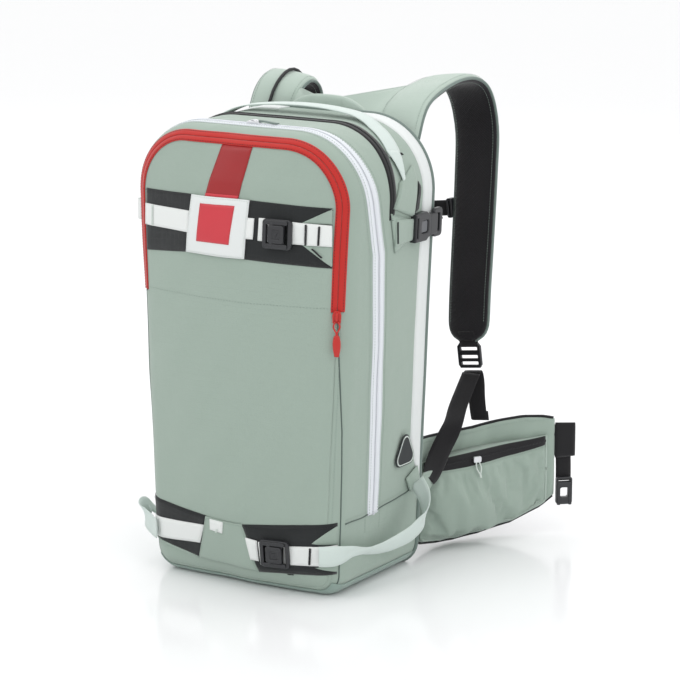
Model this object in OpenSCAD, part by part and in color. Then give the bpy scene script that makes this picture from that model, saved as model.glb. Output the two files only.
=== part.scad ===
// Avalanche airbag backpack. +Z is up, -Y is the outward front, +Y is the wearer's side.
// The origin is the centre of the base face, on the surface that the pack stands on.

/* [Body] */
// Width across the widest part of the body
body_w = 298; // [248:1:340]
// Width across the base
base_w = 260; // [215:1:300]
// Height of the body
body_h = 540; // [460:1:650]
// Depth from the front seam to the rear face
body_d = 180; // [150:1:215]
// How far the front panel swells past its seam
front_bulge = 30; // [18:1:40]
// Radius of the two top corners
corner_r = 82; // [60:1:100]
// Radius of the two bottom corners
base_r = 30; // [20:1:45]
// Thickness of the padded fabric wall
wall = 3; // [2:0.5:5]

/* [Front flap] */
// Height of the hinge line of the front flap
flap_z = 345; // [300:1:390]
// Distance from the edge of the body to the flap zip
zip_inset = 9; // [6:0.5:14]
// Width of each half of the flap zip
zip_half_w = 9; // [7:0.5:12]
// How far the flap zip slider runs
flap_slide = 90; // [50:1:110]

/* [Carrying bands] */
// Width of the pale webbing
web_w = 25; // [20:1:30]
// Thickness of the webbing
web_t = 1.6; // [1.2:0.1:2.4]
// Lower edge of the upper band
upper_band_z = 393; // [380:1:400]
// Height of the upper band
upper_band_h = 65; // [55:1:75]
// Height of the lower band
lower_band_h = 58; // [50:1:66]
// Width of the centre tab on each band
tab_w = 80; // [60:1:100]

/* [Back panel] */
// Thickness of the padded rear panel
rear_t = 12; // [8:1:16]
// Thickness of the stiff frame sheet
sheet_t = 2; // [1.5:0.5:3]
// Thickness of the two frame stays
stay_t = 3; // [2:0.5:4]
// Thickness of the back pads
pad_t = 10; // [6:1:14]

/* [Harness] */
// Width of a shoulder strap
strap_w = 60; // [50:1:70]
// Thickness of the outer shell of a strap
strap_shell_t = 7; // [5:0.5:9]
// Thickness of the lining of a strap
strap_lining_t = 6; // [4:0.5:8]
// Thickness of a belt wing
wing_t = 12; // [8:1:16]
// Width of the belt webbing
belt_web_w = 46; // [38:1:50]

/* [Airbag system] */
// Radius of the gas cartridge
cartridge_r = 25; // [20:0.5:28]
// Length of the gas cartridge without its neck
cartridge_l = 170; // [140:1:190]
// Radius of the cartridge neck
neck_r = 9; // [7:0.5:11]
// Depth of the folded airbag, from the wall inwards
bundle_t = 38; // [25:1:48]
// Diameter of the trigger cable
cable_d = 4; // [3:0.5:5]

/* [Hidden] */
$fn = 64;

sage = "#9eb0a4";
pale = "#e4e8e6";
red = "#c8332c";
black = "#242628";
steel = "#b9bcc0";

clear = 0.3;                    // gap between pieces that move against each other
back_y = 88;                    // plane of the rear face
seam_y = back_y - body_d;       // plane of the front seam
half_w = body_w / 2;
half_b = base_w / 2;
reach = max(half_w, half_b) + 5;  // just past the sides
front_tip = seam_y - front_bulge;
front_r = (half_w * half_w + front_bulge * front_bulge) / (2 * front_bulge);
front_c = front_tip + front_r;  // y of the axis of the curved front
big = 2 * body_h;
arc_n = 12;                     // straight pieces in each corner arc

main_zip_y = seam_y + 70;       // centre of the main zip on the sides
main_zip_w = 24;
main_zip_z = 88;                // lower end of the main zip
zip_turn_z = body_h - 132;      // above this the zip leans forwards
zip_lean = 13;                  // how far it leans
zip_top_y = main_zip_y - (body_h - zip_turn_z) * tan(zip_lean);
burst_y = main_zip_y + 30;
burst_w = 9;
burst_z = body_h - 130;         // where the burst zip ends on each side
piping_t = 2;
divider_y = seam_y + 34;
divider_t = 2;
sheet_y = back_y - rear_t - sheet_t;
stay_y = sheet_y - stay_t;
stay_x = 40;
stay_w = 20;
bundle_y0 = burst_y - 6;
bundle_y1 = stay_y - 3;

// Half width of the body at height z, between the corner arcs.
function half_at(z) =
    half_b + (half_w - half_b) * (z - base_r) / (body_h - corner_r - base_r);

function arc(cx, cz, r, a0, a1) =
    [for (i = [0:arc_n]) let (a = a0 + (a1 - a0) * i / arc_n) [cx + r * cos(a), cz + r * sin(a)]];

// Outline of the body in X and Z, moved inwards by inset.
function outline(inset) = let (low = max(base_r, inset + 1)) concat(
    arc(half_b - low, low, low - inset, -90, 0),
    arc(half_w - corner_r, body_h - corner_r, corner_r - inset, 0, 90),
    arc(corner_r - half_w, body_h - corner_r, corner_r - inset, 90, 180),
    arc(low - half_b, low, low - inset, 180, 270));

// Lean of the side walls from upright.
side_lean = atan((half_w - half_b) / (body_h - corner_r - base_r));

// A smooth curve through the points p, with n steps between neighbours.
function catmull(a, b, c, d, t) =
    0.5 * (2 * b + (c - a) * t + (2 * a - 5 * b + 4 * c - d) * t * t
           + (3 * b - a - 3 * c + d) * t * t * t);
function smooth(p, n = 4) = let (m = len(p) - 1) concat(
    [for (i = [0:m - 1]) for (k = [0:n - 1])
        catmull(p[max(i - 1, 0)], p[i], p[i + 1], p[min(i + 2, m)], k / n)], [p[m]]);
function normal_at(p, i) =
    let (d = p[min(i + 1, len(p) - 1)] - p[max(i - 1, 0)]) [-d[1], d[0]] / norm(d);
function beside(p, t) = [for (i = [0:len(p) - 1]) p[i] + t * normal_at(p, i)];
// Y of the hanging part of a strap route at height z.
function y_on(p, z) = lookup(-z, [for (i = [round(len(p) / 2):len(p) - 1]) [-p[i][1], p[i][0]]]);
function reversed(p) = [for (i = [len(p) - 1:-1:0]) p[i]];
function band(p, t0, t1) = concat(beside(p, t0), reversed(beside(p, t1)));

// Solid of the body outline between two planes of Y.
module slab(inset, y0, y1) {
    translate([0, y1, 0]) rotate([90, 0, 0]) linear_extrude(y1 - y0) polygon(outline(inset));
}

module ring(inset0, inset1, y0, y1) {
    difference() {
        slab(inset0, y0, y1);
        slab(inset1, y0 - 1, y1 + 1);
    }
}

// Half space boxes used to cut the panels.
module above(z) { translate([-big, -big, z]) cube([2 * big, 2 * big, big]); }
module zone(x0, x1, z0, z1) { translate([x0, -big, z0]) cube([x1 - x0, 2 * big, z1 - z0]); }

// Upright round column whose surface is the curved front, grown by t.
module front_column(t) { translate([0, front_c, -1]) cylinder(r = front_r + t, h = body_h + 2, $fn = 180); }

// Layer of the curved front between two offsets from its outer surface.
module front_layer(t0, t1) {
    intersection() {
        difference() {
            front_column(t1);
            front_column(t0);
        }
        translate([-reach, front_tip - 20, 0]) cube([2 * reach, front_bulge + 50, body_h]);
    }
}

// Puts children on the front surface at x and z: local -Y points outwards.
module on_front(x, z, lift = 0) {
    translate([0, front_c, z]) rotate([0, 0, asin(x / front_r)])
        translate([0, -front_r - lift, 0]) children();
}

// Puts children on the right side wall at y and z: local +X points outwards.
module on_side(y, z) { translate([half_at(z), y, z]) rotate([0, side_lean, 0]) children(); }

// Plate in X and Z with round corners, from y = 0 to y = -t.
module plate(w, h, t, r = 3) {
    rotate([90, 0, 0]) linear_extrude(t) hull()
        for (x = [r - w / 2, w / 2 - r], z = [r - h / 2, h / 2 - r]) translate([x, z]) circle(r, $fn = 24);
}

// Ribbon in the Y-Z plane along p, w wide in X from x0.
module side_ribbon(p, t0, t1, x0, w) {
    translate([x0, 0, 0]) rotate([90, 0, 90]) linear_extrude(w) polygon(band(p, t0, t1));
}

// Tube of diameter d along the route p.
function tube_ring(p, i, d, sides) =
    let (t = p[min(i + 1, len(p) - 1)] - p[max(i - 1, 0)], u = t / norm(t),
         s = abs(u[0]) < 0.9 ? [1, 0, 0] : [0, 0, 1],
         a = cross(u, s) / norm(cross(u, s)), b = cross(u, a))
    [for (k = [0:sides - 1]) p[i] + d / 2 * (cos(360 * k / sides) * a + sin(360 * k / sides) * b)];
module tube(p, d, sides = 8) {
    last = (len(p) - 1) * sides;
    polyhedron(
        [for (i = [0:len(p) - 1]) for (q = tube_ring(p, i, d, sides)) q],
        concat([[for (k = [0:sides - 1]) k]],
            [for (i = [0:len(p) - 2]) for (k = [0:sides - 1])
                [i * sides + k, (i + 1) * sides + k, (i + 1) * sides + (k + 1) % sides, i * sides + (k + 1) % sides]],
            [[for (k = [sides - 1:-1:0]) last + k]]));
}

/* Body walls */

// Zone of the main zip: upright on the sides, then leaning forwards over the top.
module zip_zone() {
    translate([-reach, main_zip_y - main_zip_w / 2, main_zip_z])
        cube([2 * reach, main_zip_w, zip_turn_z - main_zip_z]);
    translate([0, main_zip_y, zip_turn_z]) rotate([zip_lean, 0, 0])
        translate([-reach, -main_zip_w / 2, -main_zip_w * tan(zip_lean) / 2]) cube([2 * reach, main_zip_w, body_h]);
}

module zip_slots() {
    intersection() {
        slab(-1, front_tip, back_y);
        zip_zone();
    }
    intersection() {
        slab(-1, burst_y - burst_w / 2, burst_y + burst_w / 2);
        above(burst_z);
    }
}

module wall_ring() {
    difference() {
        intersection() {
            slab(0, front_tip, back_y - rear_t);
            front_column(-wall - clear);
        }
        slab(wall, front_tip - 1, back_y);
        zip_slots();
    }
}

module base_panel() {
    color(sage) intersection() {
        wall_ring();
        zone(-reach, reach, -1, base_r);
    }
}

module side_panel(x0, x1) {
    color(sage) intersection() {
        wall_ring();
        zone(x0, x1, base_r, body_h - corner_r);
    }
}

module right_side_panel() { side_panel(0, reach); }
module left_side_panel() { side_panel(-reach, 0); }

module top_panel() {
    color(sage) intersection() {
        wall_ring();
        above(body_h - corner_r);
    }
}

module front_panel() {
    color(sage) difference() {
        intersection() {
            front_layer(-wall, 0);
            slab(0, front_tip - 1, back_y);
        }
        intersection() {
            slab(zip_inset, front_tip - 2, back_y);
            above(flap_z);
        }
    }
}

module pocket_divider() {
    color(black) slab(wall + clear, divider_y, divider_y + divider_t);
}

strap_x = 91;                   // centre of each strap at its root, from the middle
cable_x = -strap_x;
cable_exit_z = body_h - 48;
module cable_hole() {
    translate([cable_x, sheet_y - 1, cable_exit_z]) rotate([-90, 0, 0]) cylinder(d = cable_d + 8, h = 40, $fn = 32);
}

module rear_panel() {
    color(black) difference() {
        slab(0, back_y - rear_t, back_y);
        cable_hole();
    }
}

module back_piping() { color(pale) ring(-piping_t, 0, back_y - 6, back_y); }

module back_pads() {
    color(black) {
        for (side = [-1, 1]) translate([side * 55, back_y + pad_t, 0.55 * body_h]) plate(60, 0.55 * body_h, pad_t, 20);
        translate([0, back_y + pad_t, 0.15 * body_h]) plate(170, 0.18 * body_h, pad_t, 20);
    }
}

module frame_sheet() {
    color(black) difference() {
        slab(wall + 1, sheet_y, sheet_y + sheet_t);
        cable_hole();
    }
}

module frame_stays() {
    color(steel) for (side = [-1, 1])
        translate([side * stay_x, sheet_y, body_h / 2]) plate(stay_w, body_h - 90, stay_t, 5);
}

/* Airbag system */

module airbag_bundle() {
    color(red) intersection() {
        ring(wall + 1, wall + bundle_t, bundle_y0, bundle_y1);
        above(flap_z);
    }
}

module burst_zip() {
    color(black) intersection() {
        ring(0.5, 2, burst_y - burst_w / 2, burst_y + burst_w / 2);
        above(burst_z);
    }
}

valve_x = 73 - half_w;
valve_y = 36;
cartridge_z = 52;
neck_l = 20;
neck_z = cartridge_z + cartridge_l;
valve_z = neck_z + neck_l - 12;
valve_h = 40;
valve_w = 38;
valve_front = valve_y - valve_w / 2;
// The block reaches back to the frame sheet, or to a stay that it stands in front of.
valve_back = -valve_x - valve_w / 2 < stay_x + stay_w / 2 ? stay_y : sheet_y;
lever_z = valve_z + 24;
lever_l = 28;

module gas_cartridge() {
    color(steel) translate([valve_x, valve_y, cartridge_z]) rotate_extrude() polygon(concat(
        [[0, 0], [cartridge_r - 6, 0]],
        arc(cartridge_r - 6, 6, 6, -90, 0),
        arc(cartridge_r - 15, cartridge_l - 15, 15, 0, 90),
        [[neck_r, cartridge_l], [neck_r, cartridge_l + neck_l], [0, cartridge_l + neck_l]]));
}

module valve_block() {
    color(steel) difference() {
        union() {
            translate([valve_x - valve_w / 2, valve_front, valve_z]) cube([valve_w, valve_back - valve_front, valve_h]);
            translate([valve_x, valve_front, lever_z]) rotate([90, 0, 0]) cylinder(r = 3, h = 7);
        }
        translate([valve_x, valve_y, valve_z - 1]) cylinder(r = neck_r + clear, h = 13 + clear);
    }
}

module valve_lever() {
    color(red) translate([valve_x, valve_front - clear, lever_z]) rotate([90, 0, 0]) difference() {
        union() {
            cylinder(r = 6, h = 5);
            translate([-lever_l, -4, 0]) cube([lever_l, 8, 5]);
            translate([-lever_l, 0, 0]) cylinder(r = 5, h = 5);
        }
        translate([0, 0, -1]) cylinder(r = 3.08, h = 7);
        translate([-lever_l, 0, -1]) cylinder(r = 1.6, h = 7);
    }
}

inlet_z = valve_z + valve_h;
inlet_h = 52;
hose_r = 8;
module air_inlet() {
    color(black) translate([valve_x, valve_y, inlet_z]) difference() {
        union() {
            cylinder(r = 16, h = inlet_h);
            translate([0, 0, 10]) cylinder(r = 21, h = 24);
        }
        translate([0, 0, 4]) cylinder(r = 12, h = inlet_h);
        for (a = [0:60:359]) rotate([0, 0, a]) translate([0, 0, 22]) rotate([90, 0, 0]) cylinder(r = 4, h = 30, $fn = 24);
    }
}

// Height of the inside of the folded airbag above x.
function bundle_under(x) = let (r = corner_r - wall - bundle_t, c = half_w - corner_r)
    body_h - corner_r + sqrt(r * r - pow(max(abs(x) - c, 0), 2));
module gas_hose() {
    hose_z = inlet_z + inlet_h;
    color(black) difference() {
        translate([valve_x, valve_y, hose_z]) cylinder(r = hose_r, h = bundle_under(abs(valve_x) + hose_r) - hose_z - 0.3);
        translate([valve_x, valve_y, hose_z - 1]) cylinder(r = hose_r - 2, h = big);
    }
}

lever_end = [valve_x - lever_l, valve_front - clear - 2.5, lever_z + 6];
pack_cable_y = (bundle_y1 + sheet_y) / 2;
pack_cable_route = [lever_end, lever_end + [0, 0, 26], [valve_x - 30, valve_y - 8, lever_z + 54],
    [valve_x - 27, valve_y + 10, lever_z + 72], [valve_x - 21, pack_cable_y - 10, lever_z + 92],
    [cable_x, pack_cable_y - 1, lever_z + 114], [cable_x, pack_cable_y, lever_z + 136],
    [cable_x, pack_cable_y, cable_exit_z - 60], [cable_x, pack_cable_y, cable_exit_z - 14],
    [cable_x, pack_cable_y + 3, cable_exit_z - 3], [cable_x, pack_cable_y + 9, cable_exit_z],
    [cable_x, back_y + 2, cable_exit_z]];
module trigger_cable_pack() { color(black) tube(smooth(pack_cable_route, 3), cable_d); }

/* Harness */

root_y = back_y + 14;
root_z = body_h - 32;
strap_lean = 7;                 // how far the straps lean outwards
right_route = smooth([[root_y, root_z], [root_y + 30, root_z + 36], [root_y + 88, root_z + 54],
    [root_y + 146, root_z + 56], [root_y + 181, root_z + 37], [root_y + 191, root_z - 8],
    [root_y + 178, root_z - 64], [root_y + 152, root_z - 150], [root_y + 134, root_z - 208],
    [root_y + 120, root_z - 262]]);
left_route = smooth([[root_y, root_z], [root_y + 12, root_z + 42], [root_y + 38, root_z + 60],
    [root_y + 64, root_z + 48], [root_y + 76, root_z + 10], [root_y + 75, root_z - 60],
    [root_y + 71, root_z - 150], [root_y + 68, root_z - 208], [root_y + 66, root_z - 262]]);
right_tip = right_route[len(right_route) - 1];
left_tip = left_route[len(left_route) - 1];

// Leans children outwards about the root of the strap on one side.
module lean(side) {
    translate([side * strap_x, 0, root_z]) rotate([0, -side * strap_lean, 0])
        translate([-side * strap_x, 0, -root_z]) children();
}

// Padded piece between the straps; its ends follow the inner edges of the leaning straps.
module yoke() {
    edge = strap_x - strap_w / 2 - 0.7;
    color(sage) difference() {
        translate([-strap_x, back_y, root_z - 8]) cube([2 * strap_x, 9, 58]);
        lean(1) translate([edge, 0, 0]) cube(big);
        lean(-1) translate([-edge - big, 0, 0]) cube(big);
    }
}

module strap(route, side, t0, t1, tone) {
    color(tone) lean(side) side_ribbon(route, t0, t1, side * strap_x - strap_w / 2, strap_w);
}
module right_strap_shell() { strap(right_route, 1, 0, strap_shell_t, sage); }
module right_strap_lining() { strap(right_route, 1, -strap_lining_t, 0, black); }
module left_strap_shell() { strap(left_route, -1, 0, strap_shell_t, sage); }
module left_strap_lining() { strap(left_route, -1, -strap_lining_t, 0, black); }

lock_w = 32;
lock_h = 32;
lock_r = 3;                     // radius of the round bar that the lock tilts about
lock_gap = 0.7;
module ladder_lock(tip, side) {
    color(black) lean(side) translate([side * strap_x, tip[0], tip[1] - lock_gap - lock_r]) difference() {
        union() {
            translate([-lock_w / 2, 0, 0]) rotate([0, 90, 0]) cylinder(r = lock_r, h = lock_w);
            translate([0, lock_r, -(lock_h - lock_r) / 2]) plate(lock_w, lock_h - lock_r, 2 * lock_r);
        }
        for (z = [-22, -14, -6]) translate([0, lock_r + 1, z]) plate(lock_w - 9, 3.5, 8, 1);
    }
}
module right_ladder_lock() { ladder_lock(right_tip, 1); }
module left_ladder_lock() { ladder_lock(left_tip, -1); }

anchor_z = 104;
anchor_h = 36;
anchor_l = 40;
anchor_x = half_at(anchor_z) - 3;
// Adjusting webbing from below a ladder lock to the tab at the lower corner of the pack.
module adjuster(tip, side) {
    drop = root_z - tip[1] + lock_gap + lock_h + 8;
    top_x = side * (strap_x + drop * sin(strap_lean));
    hull() {
        translate([top_x - web_w / 2, tip[0] - 4, root_z - drop * cos(strap_lean)]) cube([web_w, web_t, 4]);
        translate([side * anchor_x - web_t / 2, back_y + anchor_l - web_w, anchor_z]) cube([web_t, web_w, 4]);
    }
    translate([side * anchor_x - web_t, back_y + clear, anchor_z - anchor_h - clear]) cube([2 * web_t, anchor_l, anchor_h]);
}
module anchor_webbing() {
    color(black) {
        adjuster(right_tip, 1);
        adjuster(left_tip, -1);
    }
}

sternum_z = root_z - 103;
sternum_h = 26;
// Rail clip, webbing and buckle half on the inner edge of a strap.
module sternum(route, side) {
    color(black) lean(side) translate([side * (strap_x - strap_w / 2 - 0.5), y_on(route, sternum_z), sternum_z])
        mirror([side > 0 ? 1 : 0, 0, 0]) {
            translate([0, -9, -sternum_h / 2]) cube([7, 18, sternum_h]);
            translate([7, -web_t / 2, -10]) cube([18, web_t, 20]);
            translate([38, 4, 0]) plate(26, 26, 8, 4);
        }
}
module right_sternum_strap() { sternum(right_route, 1); }
module left_sternum_strap() { sternum(left_route, -1); }

handle_h = 74;
handle_t = 15;
handle_top = sternum_z - 24;
handle_y = max(y_on(left_route, handle_top), y_on(left_route, handle_top - handle_h)) + strap_shell_t + 0.4;
module trigger_handle() {
    color(red) lean(-1) translate([-strap_x, handle_y + handle_t, handle_top - handle_h / 2]) plate(26, handle_h, handle_t, 8);
}

// The cable lies on the outer face of the left strap, down to the handle.
strap_cable = beside(left_route, strap_shell_t + cable_d / 2 + 0.5);
strap_cable_route = concat([[cable_x, back_y + 5.2, cable_exit_z + 2.6]],
    [for (i = [0:len(strap_cable) - 1]) let (p = strap_cable[i])
        if (p[1] > handle_top + 1 || i < 12) [cable_x, p[0], p[1]]]);
module trigger_cable_strap() { color(black) lean(-1) tube(strap_cable_route, cable_d); }

/* Hip belt */

wing_x = half_b - 26;           // the wing turns about this upright line
wing_y = back_y + wing_t / 2 + 0.6;
wing_route = smooth([[wing_x, wing_y], [wing_x + 4, wing_y + 46], [wing_x + 16, wing_y + 92],
    [wing_x + 48, wing_y + 142], [wing_x + 104, wing_y + 196]]);
// Side outline of a belt wing, in Y and Z.
wing_side = [[back_y, 34], [back_y + 46, 14], [back_y + 100, 10], [back_y + 164, 34], [back_y + 215, 78],
    [back_y + 215, 160], [back_y + 150, 168], [back_y + 100, 150], [back_y, 146]];

module wing_cut() {
    intersection() {
        children();
        rotate([90, 0, 90]) linear_extrude(400) polygon(wing_side);
    }
}
module wing(side) {
    color(sage) mirror([side < 0 ? 1 : 0, 0, 0]) wing_cut() union() {
        linear_extrude(200) polygon(band(wing_route, -wing_t / 2, wing_t / 2));
        translate([wing_x, wing_y, 0]) cylinder(r = wing_t / 2, h = 200);
    }
}
module right_belt_wing() { wing(1); }
module left_belt_wing() { wing(-1); }

pocket_t = 30;
pocket_base = 6;
pocket_top = 138;
panel_route = [for (i = [6:14]) wing_route[i]];
panel_n = len(panel_route) - 1;
// Face that swells from the outer side of the wing by base, and by swell more in the middle.
function swollen(base, swell) = [for (i = [0:panel_n])
    panel_route[i] - (wing_t / 2 + base + swell * sin(180 * i / panel_n)) * normal_at(panel_route, i)];

module right_belt_pocket() {
    color(sage) wing_cut() translate([0, 0, 26]) linear_extrude(pocket_top - 26)
        polygon(concat(swollen(0, 0), reversed(swollen(pocket_base, pocket_t))));
}

module pocket_zip_slider() {
    mid = round(panel_n / 2);
    n = normal_at(panel_route, mid);
    out = swollen(pocket_base + clear, pocket_t)[mid];
    color(pale) translate([out[0], out[1], pocket_top - 12]) rotate([0, 0, atan2(-n[1], -n[0]) + 90]) {
        plate(14, 7, 5, 2);
        translate([0, -2, -12]) plate(4, 18, 2, 1.5);
    }
}

loop_out = 14;
module left_gear_loop() {
    color(black) mirror([1, 0, 0]) translate([0, 0, 88]) linear_extrude(web_w) difference() {
        polygon(concat(swollen(0, 0), reversed(swollen(web_t, loop_out))));
        polygon(concat(swollen(0.8, 0), reversed(swollen(0.8, loop_out - 1))));
    }
}

// Sleeve, webbing and buckle half at the free end of a belt wing. The thick ones start further out,
// so that they clear the wing when the end swings.
belt_end_l = 26;
belt_end_gap = 0.9;
swing_room = 4;
module belt_end(side) {
    tip = wing_route[len(wing_route) - 1];
    n = normal_at(wing_route, len(wing_route) - 1);
    color(black) mirror([side < 0 ? 1 : 0, 0, 0]) translate([tip[0], tip[1], 119]) rotate([0, 0, atan2(n[1], n[0])]) {
        translate([0, -belt_end_gap - belt_end_l, 0]) {
            translate([-2, 0, -belt_web_w / 2]) cube([4, belt_end_l, belt_web_w]);
            translate([2, 0, -46]) cube([web_t, belt_end_l - swing_room, 60]);
            translate([-3, 0, -84]) cube([10, belt_end_l - swing_room, 38]);
        }
    }
}
module right_belt_end() { belt_end(1); }
module left_belt_end() { belt_end(-1); }

/* Zips */

module main_zip() {
    color(pale) intersection() {
        ring(0.5, 2, front_tip, back_y);
        zip_zone();
    }
}

module main_zip_slider() {
    color(steel) translate([0, zip_top_y, body_h + clear]) {
        translate([-9, -4, 0]) cube([18, 8, 4]);
        translate([9, -2, 1]) cube([22, 4, 2]);
    }
}

module flap_zip_outer() {
    color(red) intersection() {
        front_layer(-2, 0.6);
        ring(zip_inset, zip_inset + zip_half_w, front_tip - 2, back_y);
        above(flap_z);
    }
}

module flap_zip_inner() {
    inset = zip_inset + zip_half_w + clear;
    color(red) intersection() {
        front_layer(-2, 0.6);
        ring(inset, inset + zip_half_w, front_tip - 2, back_y);
        above(flap_z + 1);
    }
}

slider_x = half_at(flap_z) - zip_inset - zip_half_w / 2 - 1;
slider_w = 7;
slider_h = 14;
pull_l = 44;
module flap_zip_slider() {
    color(red) on_front(slider_x, flap_z - slider_h / 2 - 2, 0.6 + clear) plate(slider_w, slider_h, 5, 2);
}
module flap_zip_pull() {
    color(red) on_front(slider_x, flap_z - slider_h - 2 - pull_l / 2 - clear, 1.5) plate(6, pull_l, 3, 2);
}

/* Front flap and carrying bands */

flap_inset = zip_inset + 2 * zip_half_w + clear;
band_half = half_at(upper_band_z) - flap_inset - 1;
tab_half = tab_w / 2;

module front_flap() {
    color(sage) intersection() {
        front_layer(-wall, 0);
        slab(flap_inset, front_tip - 2, back_y);
        above(flap_z + 1);
    }
}

module centre_stripe() {
    color(red) intersection() {
        front_layer(0, 0.8);
        zone(-22.5, 22.5, upper_band_z + upper_band_h, body_h - flap_inset - 1);
    }
}

module upper_band() {
    color(black) intersection() {
        front_layer(0, 1.2);
        zone(-band_half, band_half, upper_band_z, upper_band_z + upper_band_h);
    }
}

strap_z = upper_band_z + upper_band_h / 2 + 2;
frame_x = 68;
module upper_straps() {
    color(pale) intersection() {
        front_layer(1.2, 1.2 + web_t);
        union() {
            zone(-band_half, -tab_half, strap_z - web_w / 2, strap_z + web_w / 2);
            zone(tab_half, frame_x - 19, strap_z - web_w / 2, strap_z + web_w / 2);
            zone(frame_x + 19, band_half, strap_z - web_w / 2, strap_z + web_w / 2);
        }
    }
    color(sage) intersection() {
        front_layer(1.2, 2.8);
        zone(-tab_half, tab_half - 0.1, upper_band_z, upper_band_z + upper_band_h);
    }
}

// Buckle frame with a window, and the hook that lifts out of it.
module hook_frame() {
    difference() {
        plate(37, 35, 8, 4);
        translate([0, 1, 0]) plate(23, 21, 10, 2);
    }
}
module hook_bar() { plate(22, 20, 6, 2); }

module upper_hook_frame() { color(black) on_front(frame_x, strap_z, 1.4) hook_frame(); }
module upper_hook() { color(black) on_front(frame_x, strap_z, 2) hook_bar(); }

lower_z0 = 22;
lower_z1 = lower_z0 + lower_band_h;
lower_half = half_at(lower_z0 + 20) - 4;
lower_strap_z = lower_z0 + lower_band_h / 2;
lower_frame_x = 46;

module lower_band() {
    color(black) intersection() {
        front_layer(0, 1.2);
        zone(-lower_half, lower_half, lower_z0, lower_z1);
    }
}

module lower_hook_frame() { color(black) on_front(lower_frame_x, lower_strap_z, 1.4) hook_frame(); }
module lower_hook() { color(black) on_front(lower_frame_x, lower_strap_z, 2) hook_bar(); }

// Loose webbing from the front corner to the rear anchor, on one side of the pack.
loose_route = smooth([[half_b + 3, seam_y - 4], [half_b + 22, seam_y + 30], [half_b + 28, seam_y + 80],
    [half_b + 20, seam_y + 130], [half_at(anchor_z) + web_t + 0.8, back_y - 14]]);
loose_tilt = 17;
module loose_webbing() {
    translate([0, seam_y, lower_strap_z - web_w / 2]) rotate([loose_tilt, 0, 0]) translate([0, -seam_y, 0])
        linear_extrude(web_w) polygon(band(loose_route, 0, web_t));
}
module lower_straps() {
    color(pale) {
        intersection() {
            front_layer(1.2, 1.2 + web_t);
            union() {
                zone(-lower_half, -tab_half, lower_strap_z - web_w / 2, lower_strap_z + web_w / 2);
                zone(tab_half - 18, lower_frame_x - 19, lower_strap_z - web_w / 2, lower_strap_z + web_w / 2);
                zone(lower_frame_x + 19, lower_half, lower_strap_z - web_w / 2, lower_strap_z + web_w / 2);
            }
        }
        for (side = [0, 1]) mirror([side, 0, 0]) loose_webbing();
    }
    color(sage) intersection() {
        front_layer(1.2, 2.8);
        zone(-tab_half, tab_half - 18.1, lower_z0, lower_z1);
    }
}

/* Side compression and top webbing */

tab_y = back_y - 60;
tab_l = 38;
tab_t = 2.2;
side_z = body_h - 120;
module side_tabs() {
    color(sage) for (side = [0, 1]) mirror([side, 0, 0])
        on_side(tab_y, side_z) translate([clear, -tab_l / 2, -21]) cube([tab_t, tab_l, 42]);
}

buckle_x = piping_t + 0.6;
socket_l = 26;
socket_t = 11;
socket_y = tab_l / 2 + clear;
module side_sockets() {
    color(black) for (side = [0, 1]) mirror([side, 0, 0])
        on_side(tab_y, side_z) translate([buckle_x, socket_y, -17]) difference() {
            cube([socket_t, socket_l, 34]);
            translate([3, 4, 4]) cube([5, socket_l, 26]);
        }
}

plug_l = 22;
prong_l = socket_l - 6;
module side_plug(side) {
    color(black) mirror([side < 0 ? 1 : 0, 0, 0])
        on_side(tab_y, side_z) translate([buckle_x, socket_y + socket_l + clear, -17]) {
            cube([socket_t, plug_l, 34]);
            for (z = [4.6, 24.4]) translate([3.4, -prong_l, z]) cube([4.2, prong_l, 5]);
        }
}
module right_side_plug() { side_plug(1); }
module left_side_plug() { side_plug(-1); }

web_rise = 9;
top_steps = 10;
// Route of the top webbing in X and Z, from low on the right corner to the middle.
top_half = [for (i = [0:top_steps]) let (a = 12 + 78 * i / top_steps, r = corner_r + clear + web_rise * pow(i / top_steps, 1.5))
    [half_w - corner_r + r * cos(a), body_h - corner_r + r * sin(a)]];
top_route = concat(top_half, [for (p = reversed(top_half)) [-p[0], p[1]]]);
module top_webbing() {
    color(pale) translate([0, back_y - 40 + web_w / 2, 0]) rotate([90, 0, 0])
        linear_extrude(web_w) polygon(band(top_route, 0, -web_t));
}

base_panel();
left_side_panel();
right_side_panel();
top_panel();
front_panel();
pocket_divider();
rear_panel();
back_piping();
back_pads();
frame_sheet();
frame_stays();
airbag_bundle();
burst_zip();
gas_cartridge();
valve_block();
valve_lever();
air_inlet();
gas_hose();
trigger_cable_pack();
trigger_cable_strap();
trigger_handle();
main_zip();
main_zip_slider();
front_flap();
flap_zip_outer();
flap_zip_inner();
flap_zip_slider();
flap_zip_pull();
centre_stripe();
upper_band();
upper_straps();
upper_hook_frame();
upper_hook();
lower_band();
lower_straps();
lower_hook_frame();
lower_hook();
side_tabs();
side_sockets();
right_side_plug();
left_side_plug();
top_webbing();
yoke();
right_strap_shell();
right_strap_lining();
left_strap_shell();
left_strap_lining();
right_ladder_lock();
left_ladder_lock();
right_sternum_strap();
left_sternum_strap();
anchor_webbing();
right_belt_wing();
left_belt_wing();
right_belt_pocket();
pocket_zip_slider();
left_gear_loop();
right_belt_end();
left_belt_end();
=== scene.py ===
"""Looks of an avalanche airbag backpack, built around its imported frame."""
import logging
import math
from collections.abc import Callable
from dataclasses import dataclass
from enum import Enum
from functools import cache, partial

import bmesh
import bpy
import numpy as np
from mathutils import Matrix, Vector, noise


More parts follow.
